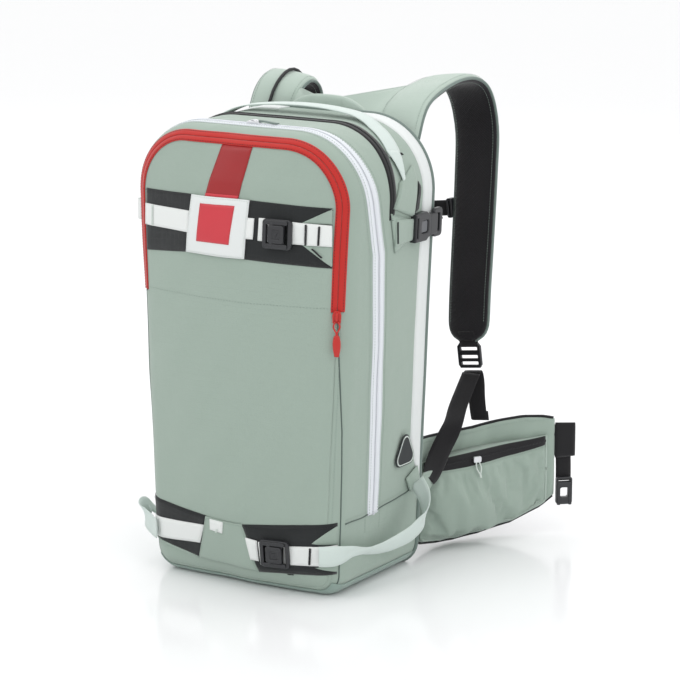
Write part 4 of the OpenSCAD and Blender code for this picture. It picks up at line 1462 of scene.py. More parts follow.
    def creases(self) -> None:
        """Hinge seam across the front, level with the ends of the zip."""
        x = HALF_W - 0.020
        row = rows_of("hinge_fold", [seam_line([(-x, HINGE_Z), (x, HINGE_Z)], 0.0003)], Element.HINGE_STITCH,
                      "sage_thread")
        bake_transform(row)


LAYER = 0.0008                  # height from one sewn layer of the bands to the next


@dataclass
class StrapBand:
    """Parts that both webbing bands across the front share."""

    body: str = "flap"
    nudge: float = -0.0020

    def cloth(self, name: str, corners: list, level: int, finish: str,
              cells: tuple = (22, 10)) -> bpy.types.Object:
        """Sewn layer of cloth at one level above the front."""
        return draped(name, corners, 0.0001 + LAYER * level, 0.0010, finish, cells, 0.7)

    def strap(self, name: str, corners: list, level: int, finish: str = "pale_web",
              cells: tuple = (16, 8)) -> bpy.types.Object:
        """Length of flat webbing at one level above the front."""
        return draped(name, corners, 0.0003 + LAYER * level, 0.0017, finish, cells, 0.8)

    def bartack(self, name: str, start: tuple, end: tuple, level: int,
                finish: str = "dark_thread") -> bpy.types.Object:
        """Dense bar of thread across webbing."""
        lines = [seam_line([(start[0] + shift, start[1]), (end[0] + shift, end[1])], 0.0019 + LAYER * level)
                 for shift in (-0.0007, 0.0, 0.0007)]
        return rows_of(name, lines, Element.BARTACK, finish)

    def sewing(self, name: str, lines: list, level: int, finish: str) -> bpy.types.Object:
        """Rows of stitches through flat points."""
        return rows_of(name, [seam_line(points, 0.0010 + LAYER * level) for points in lines],
                       Element.BAND_STITCH, finish)

    def clasp(self, frame_node: str, hook_node: str, hook_body: str) -> None:
        """Moulded frame with bars and the square hook that lifts out of it."""
        low, high = (np.array(c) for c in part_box(frame_node))
        x, z = (low[0] + high[0]) / 2 + self.nudge, (low[2] + high[2]) / 2
        wide, tall = float(high[0] - low[0]), float(high[2] - low[2])
        out = Vector(BODY.front_normal(float(x), float(z)))
        up = Vector((0.0, 0.0, 1.0))
        up = (up - out * up.dot(out)).normalized()
        right = up.cross(out) * -1.0
        if right.x < 0:
            right = -right
        place = Vector(BODY.front(x, z, 0.0030))
        shape = rounded(wide - 0.001, tall - 0.001, 0.0045)
        left_slot = rounded(0.0042, tall - 0.0105, 0.0012, (-wide / 2 + 0.0078, 0.0))
        right_slot = rounded(0.0042, tall - 0.0105, 0.0012, (wide / 2 - 0.0075, 0.0))
        base = plate("clasp_frame", shape, [left_slot, right_slot], 0.0044, "plastic", place, right, up,
                     0.0012)
        bars = [rounded(wide - 0.010, 0.0052, 0.0022, (0.0, side * (tall / 2 - 0.0042))) for side in (-1, 1)]
        rails = [plate("clasp_rail", bar, [], 0.0022, "plastic", place + out * 0.0040, right, up, 0.0009)
                 for bar in bars]
        cheek = rounded(0.0044, tall - 0.008, 0.0016, (-wide / 2 + 0.0128, 0.0))
        rails.append(plate("clasp_cheek", cheek, [], 0.0030, "plastic", place + out * 0.0038, right, up,
                           0.0010))
        settle(joined(frame_node + "_moulding", [base, *rails]), self.body, "black_plastic", frame_node)
        low, high = (np.array(c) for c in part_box(hook_node))
        x, z = (low[0] + high[0]) / 2 + self.nudge, (low[2] + high[2]) / 2
        spot = Vector(BODY.front(x, z, 0.0030)) + out * 0.0046
        hook = plate("hook", rounded(0.0200, 0.0205, 0.0030),
                     [rounded(0.0105, 0.0105, 0.0018, (0.0004, 0.0))], 0.0028,
                     "plastic", spot, right, up, 0.0010)
        pad = plate("hook_pad", rounded(0.0112, 0.0112, 0.0018, (0.0004, 0.0)), [], 0.0014, "plastic",
                    spot + out * 0.0002, right, up, 0.0005)
        tooth = plate("hook_ridge", [(-0.0026, 0.0022), (0.0026, 0.0022), (0.0, -0.0028)], [], 0.0007,
                      "plastic",
                      spot + out * 0.0016, right, up, 0.0002)
        settle(joined(hook_node + "_moulding", [hook, pad, tooth]), hook_body, "black_plastic", hook_node)


@dataclass
class UpperBand(StrapBand):
    """Band over the flap: black wings, pale strap, blank tab and the clasp."""

    body: str = "flap"

    def build(self) -> None:
        """Make the band's layers from the cloth outwards."""
        edge = 0.1275
        wings = [
            self.cloth("wing_left", [(-edge, 0.3885), (-0.0560, 0.3955), (-0.0500, 0.4630),
                                     (-edge, 0.4610)], 0, "black_cloth"),
            self.cloth("wing_right", [(0.0220, 0.3950), (edge, 0.3915), (edge, 0.4595), (0.0280, 0.4630)],
                       0, "black_cloth")]
        settle(joined("upper_wings", wings), self.body, "black_fabric", "upper_band")
        sage = [
            self.cloth("upper_fold_high", [(0.0930, 0.4415), (edge, 0.4415), (edge, 0.4590),
                                           (edge - 0.0008, 0.4586)], 1, "sage", (12, 8)),
            self.cloth("upper_fold_low", [(edge - 0.0008, 0.3935), (edge, 0.3930), (edge, 0.4180),
                                          (0.0930, 0.4180)], 1, "sage", (12, 8))]
        settle(joined("upper_folds", sage), self.body, "sage_fabric")
        straps = [
            self.strap("strap_left", [(-edge, 0.4187), (-0.0530, 0.4187), (-0.0525, 0.4435),
                                      (-edge, 0.4435)], 1),
            self.strap("strap_middle", [(0.0235, 0.4190), (0.0345, 0.4190), (0.0358, 0.4430),
                                        (0.0248, 0.4430)], 1, cells=(6, 8)),
            self.strap("strap_joint", [(0.0405, 0.4180), (0.0560, 0.4180), (0.0575, 0.4440),
                                       (0.0415, 0.4440)], 1, cells=(6, 8)),
            self.strap("strap_right", [(0.0815, 0.4175), (edge, 0.4165), (edge, 0.4405), (0.0815, 0.4425)],
                       2),
            self.strap("strap_overlap", [(0.0985, 0.4170), (edge, 0.4166), (edge, 0.4404),
                                         (0.0990, 0.4420)], 3)]
        settle(joined("upper_webbing", straps), self.body, "pale_web", "upper_straps")
        self.tab()
        tacks = [self.bartack("tack", (0.0992, 0.4178), (0.0996, 0.4402), 4),
                 self.bartack("tack", (0.1135, 0.4182), (0.1142, 0.4388), 4),
                 self.bartack("tack", (0.1065, 0.4130), (0.1165, 0.4040), 2),
                 self.bartack("tack", (-0.1130, 0.4195), (-0.1130, 0.4427), 2, "pale_thread")]
        settle(joined("upper_bartacks", tacks), self.body, "black_fabric")
        hems = [[(-edge, 0.3905), (-0.0585, 0.3975)], [(-edge, 0.4590), (-0.0515, 0.4610)],
                [(0.0250, 0.3972), (edge, 0.3940)], [(0.0300, 0.4608), (edge, 0.4575)]]
        settle(self.sewing("upper_hems", hems, 1, "dark_thread"), self.body, "black_fabric")
        self.clasp("upper_hook_frame", "upper_hook", "upper_hook")
        self.stub()

    def tab(self) -> None:
        """Pale tab with the blank rose square."""
        panel = self.strap("tab_panel",
                           [(-0.0579, 0.3957), (0.0240, 0.3956), (0.0296, 0.4630), (-0.0496, 0.4630)], 2,
                           "pale_cloth", (26, 18))
        square = draped("tab_square", [(-0.0404, 0.4106), (0.0056, 0.4108), (0.0110, 0.4548),
                                       (-0.0350, 0.4543)],
                        0.0036, 0.0006, "patch", (18, 16), 0.4)
        border = [[(-0.0560, 0.3972), (0.0223, 0.3971), (0.0279, 0.4614), (-0.0480, 0.4614),
                   (-0.0560, 0.3972)]]
        sewn = self.sewing("tab_stitches", border, 3, "pale_thread")
        settle(joined("blank_tab", [panel, square, sewn]), self.body, "pale_web")

    @staticmethod
    def stub() -> None:
        """Folded end of the strap that stands out of the left side seam."""
        x = -float(BODY.half_at(0.431))
        y = SEAM_Y + EDGE_R - 0.0085
        fold = [(x - 0.0092 * math.sin(math.pi * t) + 0.0010, y + 0.010 * (t - 0.5), 0.4312)
                for t in np.linspace(0, 1, 10)]
        settle(ribbon("strap_stub", np.array(fold), UPWARDS, 0.0245, 0.0015, "pale_web"), "pack", "pale_web")


@dataclass
class LowerBand(StrapBand):
    """Band low on the pack: black wings, sage tab, clasp and the loose ends of the webbing."""

    body: str = "pack"
    nudge: float = 0.0090

    def build(self) -> None:
        """Make the band's layers from the cloth outwards."""
        def rim(z: float) -> float:
            return float(BODY.half_at(z)) - 0.0050
        wings = [
            self.cloth("wing_left", [(-rim(0.040), 0.0400), (-0.0540, 0.0265), (-0.0380, 0.0825),
                                     (-rim(0.092), 0.0915)],
                       0, "black_cloth"),
            self.cloth("wing_right", [(0.0300, 0.0230), (rim(0.031), 0.0305), (rim(0.092), 0.0930),
                                      (0.0130, 0.0800)],
                       0, "black_cloth")]
        settle(joined("lower_wings", wings), self.body, "black_fabric", "lower_band")
        folds = [
            self.cloth("fold_high", [(0.1015, 0.0675), (rim(0.067), 0.0670), (rim(0.089), 0.0890),
                                     (rim(0.089) - 0.001, 0.0888)],
                       1, "sage", (12, 8)),
            self.cloth("fold_low", [(rim(0.034) - 0.001, 0.0342), (rim(0.034), 0.0340),
                                    (rim(0.042), 0.0420), (0.1045, 0.0385)],
                       1, "sage", (12, 8)),
            self.cloth("fold_left", [(-rim(0.042), 0.0420), (-0.0540, 0.0285), (-0.0560, 0.0262),
                                     (-rim(0.040), 0.0395)],
                       1, "sage", (12, 4)),
            self.cloth("lower_tab", [(-0.0551, 0.0269), (0.0313, 0.0232), (0.0135, 0.0802),
                                     (-0.0387, 0.0821)],
                       1, "sage", (28, 16))]
        settle(joined("lower_folds", folds), self.body, "sage_fabric")
        straps = [
            self.strap("strap_left", [(-rim(0.044), 0.0415), (-0.0510, 0.0463), (-0.0420, 0.0703),
                                      (-rim(0.067), 0.0668)], 1),
            self.strap("strap_middle", [(0.0225, 0.0385), (0.0335, 0.0380), (0.0330, 0.0630),
                                        (0.0170, 0.0650)], 2, cells=(8, 8)),
            self.strap("strap_joint", [(0.0355, 0.0345), (0.0400, 0.0345), (0.0400, 0.0620),
                                       (0.0345, 0.0620)], 2, cells=(6, 8)),
            self.strap("strap_right", [(0.0640, 0.0370), (rim(0.043), 0.0425), (rim(0.065), 0.0665),
                                       (0.0660, 0.0600)], 1),
            self.strap("tab_loop", [(-0.0320, 0.0670), (-0.0138, 0.0655), (-0.0110, 0.0800),
                                    (-0.0310, 0.0805)], 2, cells=(8, 6))]
        settle(joined("lower_webbing", straps), self.body, "pale_web", "lower_straps")
        tacks = [self.bartack("tack", (0.0985, 0.0425), (0.1005, 0.0620), 2),
                 self.bartack("tack", (0.1130, 0.0435), (0.1148, 0.0640), 2),
                 self.bartack("tack", (0.0700, 0.0262), (0.0760, 0.0268), 1),
                 self.bartack("tack", (-0.0215, 0.0665), (-0.0200, 0.0700), 3, "pale_thread")]
        settle(joined("lower_bartacks", tacks), self.body, "black_fabric")
        hems = [[(-rim(0.042) + 0.002, 0.0425), (-0.0560, 0.0290)],
                [(-rim(0.09) + 0.003, 0.0885), (-0.0400, 0.0800)],
                [(0.0320, 0.0255), (0.1200, 0.0325)], [(0.0150, 0.0780), (0.0650, 0.0790), (0.1240, 0.0890)]]
        settle(self.sewing("lower_hems", hems, 1, "dark_thread"), self.body, "black_fabric")
        edge = [[(-0.0533, 0.0287), (0.0290, 0.0250), (0.0122, 0.0785), (-0.0372, 0.0803), (-0.0533, 0.0287)]]
        settle(self.sewing("tab_stitches_low", edge, 2, "sage_thread"), self.body, "sage_fabric")
        self.clasp("lower_hook_frame", "lower_hook", "lower_hook")
        self.loose_ends()

    def loose_ends(self) -> None:
        """Webbing that runs on round both sides, twists and rises to the rear corner."""
        ends = []
        for side in (-1, 1):
            loop = 0.011 if side < 0 else 0.0
            places = [(0.1140, -0.1085, 0.0545), (0.1245, -0.1010, 0.0545),
                      (0.1335 + loop, -0.0900, 0.0550 + loop * 0.7),
                      (0.1395 + loop, -0.0740, 0.0550 + loop * 1.4),
                      (0.1410, -0.0560, 0.0525), (0.1412, -0.0380, 0.0495), (0.1425, -0.0150, 0.0470),
                      (0.1480, 0.0100, 0.0490), (0.1570, 0.0320, 0.0570), (0.1620, 0.0490, 0.0720),
                      (0.1560, 0.0600, 0.0920), (0.1420, 0.0650, 0.1090)]
            path = smooth_path([(side * x, y, z) for x, y, z in places], 8)
            t = np.linspace(0, 1, len(path))
            width = np.interp(t, [0, 0.10, 0.24, 0.36, 0.5, 0.75, 1.0],
                              [0.0245, 0.0248, 0.0235, 0.0150, 0.0175, 0.0230, 0.0220])
            twist = np.interp(t, [0, 0.12, 0.30, 0.42, 0.60, 1.0], [0.0, 0.05, 0.75, 0.85, 0.35, 0.1])
            across = np.stack([side * np.sin(twist), 0.15 * t, np.cos(twist)], axis=1)
            ends.append(ribbon("loose_webbing", path, across, width, 0.0016, "mint_web", 0.0009))
            foot = (side * (float(BODY.half_at(0.109)) + 0.0034), 0.066, 0.1115)
            tab = [(foot[0], foot[1] - 0.012, foot[2] - 0.006), (foot[0] + side * 0.0006, foot[1], foot[2]),
                   (foot[0], foot[1] + 0.012, foot[2] + 0.004)]
            ends.append(ribbon("loose_webbing_foot", smooth_path(tab, 6), np.array([0.0, -0.3, 1.0]), 0.020,
                               0.0022, "sage"))
        settle(joined("loose_webbing_ends", ends), self.body, "pale_web")

# ---------------------------------------------------------------- sides and top

def side_points(side: int, y: np.ndarray, z: np.ndarray, off: object = 0.0) -> np.ndarray:
    """Points on a side wall, up to the shoulder of the outline.

    Args:
        side: 1 for the right wall, -1 for the left.
        y: depths.
        z: heights.
        off: lift from the cloth.

    Returns:
        Places with the same shape as y, by 3.
    """
    y, z, off = np.broadcast_arrays(np.asarray(y, float), np.asarray(z, float), np.asarray(off, float))
    p, n = BODY.outline(0.0, 0.5, 900)
    index = np.clip(np.searchsorted(p[:, 1], z.ravel()), 0, len(p) - 1)
    place, out = p[index] * (side, 1.0), n[index] * (side, 1.0)
    place[:, 1] = z.ravel()
    return BODY.wall(place, out, y.ravel(), off.ravel()).reshape(*y.shape, 3)


def side_patch(name: str, side: int, corners: list, off: float, thick: float, finish: str,
               cells: tuple = (14, 12)) -> bpy.types.Object:
    """Layer sewn on a side wall, from four flat points in Y and Z."""
    return layer_on(partial(side_points, side), name, corners, off, thick, finish, cells, 0.4)


def side_row(side: int, points: list, off: float) -> Line:
    """Line on a side wall through flat points in Y and Z."""
    return line_on(partial(side_points, side), points, off)


def side_tack(side: int, start: tuple, end: tuple, shift: tuple, off: float) -> bpy.types.Object:
    """Dense bar of thread on a side wall: three lines, one shift apart."""
    lines = [side_row(side, [(y + k * shift[0], z + k * shift[1]) for y, z in (start, end)], off)
             for k in (-1, 0, 1)]
    return rows_of("tack", lines, Element.BARTACK, "dark_thread")


@dataclass
class SideCompression:
    """Tabs, release buckles and gussets high on both sides, and the webbing over the top."""

    arch: float = 0.0095

    def build(self) -> None:
        """Make both sides and the top."""
        tabs, gussets, seams, tacks = [], [], [], []
        for side in (1, -1):
            tabs += [side_patch("tab", side,
                                [(-0.0060, 0.3960), (0.0230, 0.4040), (0.0250, 0.4310), (-0.0170, 0.4440)],
                                0.0008, 0.0020, "sage"),
                     side_patch("tab_fold", side, [(-0.0090, 0.4045), (0.0330, 0.4060), (0.0330, 0.4310),
                                                   (-0.0090, 0.4360)],
                                0.0026, 0.0016, "sage")]
            gussets += [side_patch("gusset", side,
                                   [(-0.0130, 0.4490), (0.0330, 0.4330), (0.0420, 0.4900), (0.0040, 0.4750)],
                                   0.0004, 0.0040, "sage", (20, 20)),
                        side_patch("slot", side, [(0.0350, 0.4350), (0.0480, 0.4400), (0.0520, 0.4660),
                                                  (0.0470, 0.4720)],
                                   0.0004, 0.0014, "black_cloth", (8, 12)),
                        side_patch("taper", side, [(0.0110, 0.4725), (0.0125, 0.4725), (0.0270, 0.5060),
                                                   (0.0020, 0.5090)],
                                   0.0030, 0.0012, "mint_web", (10, 14))]
            seams += [side_row(side, [(-0.0110, 0.4510), (0.0050, 0.4730)], 0.0036),
                      side_row(side, [(0.0400, 0.4870), (0.0320, 0.4370)], 0.0036),
                      side_row(side, [(-0.0135, 0.4415), (0.0240, 0.4295)], 0.0030),
                      side_row(side, [(-0.0040, 0.3985), (0.0220, 0.4060)], 0.0030)]
            tacks.append(side_tack(side, (-0.0050, 0.4080), (-0.0065, 0.4325), (0.0008, 0.0), 0.0046))
            self.buckle(side)
        settle(joined("side_tabs_sewn", tabs), "pack", "sage_fabric", "side_tabs")
        settle(joined("side_gussets", gussets), "pack", "sage_fabric")
        settle(rows_of("side_tab_stitches", seams, Element.TAB_STITCH, "sage_thread"), "pack", "sage_fabric")
        settle(joined("side_bartacks", tacks), "pack", "black_fabric")
        self.webbing()
        self.main_pull()

    def buckle(self, side: int) -> None:
        """Release buckle: the socket stays on the pack and the plug slides out."""
        name = "right" if side > 0 else "left"
        low, high = (np.array(c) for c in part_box(f"{name}_side_plug"))
        z = float(low[2] + high[2]) / 2
        y0, y1 = float(low[1]) - 0.0230, float(high[1])
        x = float(BODY.half_at(z)) + 0.0034
        lean = float(BODY.half_at(z + 0.01) - BODY.half_at(z))
        right, up = Vector((0.0, side, 0.0)), Vector((side * lean, 0.0, 0.01)).normalized()
        def at(y: float, out: float) -> Vector:
            return Vector((side * (x + out), y, z))
        grip = [(-0.0170, -0.0165), (0.0080, -0.0172), (0.0125, -0.0140), (0.0170, -0.0135), (0.0170, 0.0135),
                (0.0125, 0.0140), (0.0080, 0.0172), (-0.0170, 0.0165)]
        window = rounded(0.0150, 0.0150, 0.003, (0.0035, 0.0))
        slot = rounded(0.0030, 0.0240, 0.001, (-0.0132, 0.0))
        grip, window, slot = ([(px * side, pz) for px, pz in ring][::side] for ring in (grip, window, slot))
        frame_part = plate("socket_frame", grip, [window, slot], 0.0095, "plastic", at(y0 + 0.0170, 0.0),
                           right, up, 0.0016)
        core = plate("socket_core", rounded(0.0140, 0.0140, 0.003, (0.0035 * side, 0.0)), [], 0.0050,
                     "slate_plastic", at(y0 + 0.0170, 0.0032), right, up, 0.0010)
        settle(joined(f"{name}_socket", [frame_part, core]), "pack", "black_plastic",
               *(("side_sockets",) if side > 0 else ()))
        reach = y1 - (y0 + 0.034)
        middle = (y1 + y0 + 0.034) / 2
        arms = [plate("plug_body", rounded(reach * 0.55, 0.0250, 0.003, (-side * reach * 0.22, 0.0)),
                      [], 0.0080, "plastic", at(middle, 0.0006), right, up, 0.0014),
                plate("plug_loop", rounded(reach * 0.62, 0.0340, 0.005, (side * reach * 0.19, 0.0)),
                      [rounded(reach * 0.30, 0.0220, 0.002, (side * reach * 0.16, 0.0))], 0.0055, "plastic",
                      at(middle, 0.0010), right, up, 0.0013)]
        for tip in (-1, 1):
            prong = rounded(0.0150, 0.0046, 0.0015, (-side * (reach * 0.5 + 0.006), tip * 0.0110))
            arms.append(plate("plug_prong", prong, [], 0.0044, "plastic", at(middle, 0.0022), right, up,
                              0.0009))
        settle(joined(f"{name}_plug_moulding", arms), f"{name}_plug", "black_plastic", f"{name}_side_plug")
        spots = ((0.020, 0.0024), (0.027, 0.0040), (y0 + 0.004, 0.0050))
        path = smooth_path([at(y, lift) for y, lift in spots], 6)
        settle(ribbon(f"{name}_socket_webbing", path, np.array(up), 0.0225, 0.0016, "sage_strap"),
               "pack", "sage_fabric")

    def webbing(self) -> None:
        """Pale webbing over the top, free of the cloth in the middle."""
        u = BODY.share_at_height(0.500)
        p, n = BODY.outline(u, 1.0 - u, 150)
        t = np.linspace(-1, 1, len(p))
        y = 0.046 - 0.032 * np.abs(t) ** 2.0
        lift = 0.0014 + self.arch * np.clip(1 - np.abs(t) ** 2 * 2.1, 0, 1)
        path = BODY.wall(p, n, y) + wall_up(n) * lift[:, None]
        web = ribbon("top_webbing_strip", path, REARWARDS, 0.0245, 0.0018, "mint_web")
        settle(web, "pack", "pale_web", "top_webbing")
        tacks = [side_tack(side, (0.0075, 0.5050), (0.0300, 0.5020), (0.0, 0.0008), 0.0034)
                 for side in (-1, 1)]
        settle(joined("top_webbing_bartacks", tacks), "pack", "black_fabric")

    @staticmethod
    def main_pull() -> None:
        """Slider of the main zip with a cloth pull, on the top."""
        low, high = (np.array(c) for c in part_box("main_zip_slider"))
        at = Vector((float(low[0]) + 0.008, float(low[1] + high[1]) / 2 - 0.009, float(TOP_Z) + 0.0012))
        right, up = Vector((1.0, 0.0, 0.0)), Vector((0.0, 1.0, 0.0))
        outline = [(-0.008, -0.0042), (0.004, -0.0050), (0.008, -0.0034), (0.008, 0.0034), (0.004, 0.0050),
                   (-0.008, 0.0042)]
        body = plate("main_slider_body", outline, [], 0.0030, "steel", at, right, up, 0.0008)
        arch = [at + Vector((0.0055 * math.cos(t), 0.0, 0.0024 + 0.0018 * math.sin(t)))
                for t in np.linspace(0, math.pi, 10)]
        bridge = ribbon("main_slider_bridge", np.array(arch), REARWARDS, 0.0026, 0.0012, "steel")
        pull = [at + Vector((0.006 + 0.0262 * t, 0.0010 * math.sin(5 * t), 0.0036 - 0.0016 * t))
                for t in np.linspace(0, 1, 12)]
        tail = ribbon("main_slider_tail", np.array(pull), REARWARDS, 0.0058, 0.0018, "binding")
        settle(joined("main_slider_with_pull", [body, bridge, tail]), "main_slider", "zip_metal",
               "main_zip_slider")


# ---------------------------------------------------------------- harness

ROOT_Y = BACK_Y + 0.014
ROOT_Z = TOP_Z - 0.032
STRAP_X = 0.091
LEAN = math.radians(7)


@dataclass(frozen=True)
class StrapLine:
    """Side view of one shoulder strap, and its lean outwards."""

    side: int
    offsets: tuple

    def line(self) -> np.ndarray:
        """Middle line as N by 2 places in Y and Z."""
        return smooth_path([(ROOT_Y + y * MM, ROOT_Z + z * MM, 0.0) for y, z in self.offsets], 12)[:, :2]

    def outer(self, line: np.ndarray) -> np.ndarray:
        """Unit directions away from the shoulder, in Y and Z."""
        run = unit(np.gradient(line, axis=0))
        return np.stack([-run[:, 1], run[:, 0]], axis=1)

    def world(self, across: object, y: object, z: object) -> np.ndarray:
        """Places of flat points, with across measured outwards from the strap's middle."""
        across, y, z = np.broadcast_arrays(*(np.asarray(v, float) for v in (across, y, z)))
        drop = z - ROOT_Z
        x = STRAP_X + across * math.cos(LEAN) - drop * math.sin(LEAN)
        return np.stack([self.side * x, y, ROOT_Z + across * math.sin(LEAN) + drop * math.cos(LEAN)], axis=-1)

    def place(self, across: object, flat: np.ndarray) -> np.ndarray:
        """Places of flat points given as one array, with Y and Z on its last axis."""
        return self.world(across, flat[..., 0], flat[..., 1])

    def across(self) -> np.ndarray:
        """Direction over the strap's width."""
        return np.array([self.side * math.cos(LEAN), 0.0, math.sin(LEAN)])


RIGHT_LINE = StrapLine(1, ((0, 0), (30, 36), (88, 54), (146, 56), (181, 37), (191, -8), (178, -64),
                           (152, -150), (134, -208), (120, -262)))
LEFT_LINE = StrapLine(-1, ((0, 0), (12, 42), (38, 60), (64, 48), (76, 10), (75, -60), (71, -150), (68, -208),
                           (66, -262)))


# Side view of the adjusting webbing's loose tail and its hem, in millimetres from the strap's tip
TAIL = ((0.4, -39.5), (5.5, -38.5), (8.5, -44.0), (9.0, -56.0), (7.0, -70.0), (6.5, -86.0), (8.0, -100.0))
TAIL_HEM = ((10.2, -90.0), (10.4, -96.0), (10.5, -101.5))


@dataclass
class Harness:
    """Shoulder straps, yoke, ladder locks, adjusting webbing, chest strap and the trigger handle."""

    shell: float = 0.0070
    lining: float = 0.0060

    def build(self) -> None:
        """Make both straps and what hangs on them."""
        for name, strap in (("right", RIGHT_LINE), ("left", LEFT_LINE)):
            self.strap(name, strap)
            self.ladder_lock(name, strap)
            self.chest(name, strap)
        self.yoke()
        self.adjusters()
        self.handle()

    def taper(self, count: int) -> np.ndarray:
        """Half width of a strap at each of its stations."""
        t = np.linspace(0, 1, count)
        tip = np.sqrt(np.clip(1 - ((t - 0.945) / 0.055).clip(0, 1) ** 2, 0.16, 1))
        return np.interp(t, [0, 0.08, 0.5, 0.93, 1.0], [0.0300, 0.0300, 0.0295, 0.0272, 0.0262]) * tip

    def strap(self, name: str, strap: StrapLine) -> None:
        """Padded strap: cloth outside, mesh inside and a bound edge."""
        body = f"{name}_strap"
        line = strap.line()
        out = strap.outer(line)
        half = self.taper(len(line))
        swell = 1 + 0.10 * np.sin(np.linspace(0, 46, len(line)))
        crown = [(-1.0, 0.10), (-0.985, 0.42), (-0.90, 0.72), (-0.62, 0.94), (-0.25, 1.0), (0.25, 1.0),
                 (0.62, 0.94),
                 (0.90, 0.72), (0.985, 0.42), (1.0, 0.10), (0.55, 0.02), (0.0, 0.02), (-0.55, 0.02)]
        for part, depth, finish, slot in (("shell", self.shell, "sage_strap", "sage_fabric"),
                                          ("lining", -self.lining, "spacer", "foam_mesh")):
            rings = []
            for u, h in crown:
                lift = depth * h * (swell if h > 0.5 else 1.0) * 0.96
                at = line + out * np.broadcast_to(lift, (len(line),))[:, None]
                rings.append(strap.place(half * u * (0.985 if part == "lining" else 1.0), at))
            piece = loft(f"{name}_strap_{part}_pad", np.stack(rings, axis=1), finish)
            settle(piece, body, slot, f"{name}_strap_{part}")
        inner, outer = (strap.place(half * u, line + out * 0.0004) for u in (-1, 1))
        loop = np.concatenate([inner, outer[::-1]])
        settle(cord_tube(f"{name}_strap_binding", loop, 0.0019, "binding", 8), body, "sage_fabric")
        rows = []
        for u in (-0.86, 0.86):
            for depth, sign in ((self.shell * 0.80, 1), (-self.lining * 0.80, -1)):
                at = line + out * depth
                up = strap.place(0, at + out * (MM * sign)) - strap.place(0, at)
                rows.append((strap.place(half * u, at)[4:-6], unit(up)[4:-6]))
        settle(rows_of(f"{name}_strap_stitches", rows, Element.STITCH, "sage_thread"), body, "sage_fabric")
        self.trims(name, strap, line, out)

    def trims(self, name: str, strap: StrapLine, line: np.ndarray, out: np.ndarray) -> None:
        """Daisy-chain webbing down the outer face and the web that holds the ladder lock."""
        start, stop = int(len(line) * 0.56), int(len(line) * 0.97)
        at = line[start:stop] + out[start:stop] * (self.shell + 0.0006)
        shift = 0.012 if name == "left" else 0.0
        web = ribbon("web", strap.place(shift, at), strap.across(), 0.0155, 0.0014, "black_web")
        tacks = []
        for share in np.linspace(0.03, 0.97, 6):
            k = start + int((stop - start - 1) * share)
            spot = line[k] + out[k] * (self.shell + 0.0015)
            ends = strap.place(np.array([-0.006, 0.006]) + shift, spot)
            tacks.append((ends, strap.place(0, line[k] + out[k]) - strap.place(0, line[k])))
        sewn = rows_of("tack", tacks, Element.STRAP_TACK, "pale_thread")
        settle(joined(f"{name}_strap_webbing", [web, sewn]), f"{name}_strap", "black_fabric")

    def ladder_lock(self, name: str, strap: StrapLine) -> None:
        """Moulded lock below the strap's tip, with its bar, three slots and the holding web."""
        tip = strap.line()[-1]
        right = Vector(strap.across()) * strap.side
        up = Vector(unit(strap.world(0, 0.0, ROOT_Z) - strap.world(0, 0.0, ROOT_Z - 0.1)))
        outline = [(-0.0135, -0.0300), (0.0135, -0.0300), (0.0162, -0.0260), (0.0162, -0.0030),
                   (0.0128, 0.0012),
                   (-0.0128, 0.0012), (-0.0162, -0.0030), (-0.0162, -0.0260)]
        slots = [rounded(0.0235, 0.0040, 0.0010, (0.0, z)) for z in (-0.0240, -0.0160, -0.0060)]
        place = Vector(strap.world(0.0, tip[0], tip[1] - 0.0037))
        out = right.cross(up)
        lock = plate(f"{name}_lock_plate", outline, slots, 0.0046, "plastic",
                     place - out * 0.0023, right, up, 0.0012)
        ribs = [plate("rib", rounded(0.0270, 0.0016, 0.0006, (0.0, z)), [], 0.0012, "plastic",
                      place + out * (0.0023 if out.y > 0 else -0.0035), right, up, 0.0004)
                for z in (-0.0200, -0.0275)]
        settle(joined(f"{name}_ladder_lock_moulding", [lock, *ribs]), f"{name}_lock", "black_plastic",
               f"{name}_ladder_lock")
        hold = [(tip[0] + 0.0040, tip[1] + 0.022), (tip[0] + 0.0045, tip[1] + 0.006),
                (tip[0] + 0.0030, tip[1] - 0.0052), (tip[0], tip[1] - 0.0060),
                (tip[0] - 0.0026, tip[1] - 0.0040), (tip[0] - 0.0040, tip[1] + 0.012)]
        path = smooth_path([strap.world(0.0, y, z) for y, z in hold], 5)
        settle(ribbon(f"{name}_lock_holder", path, strap.across(), 0.0225, 0.0013, "black_web"),
               f"{name}_strap", "black_fabric")

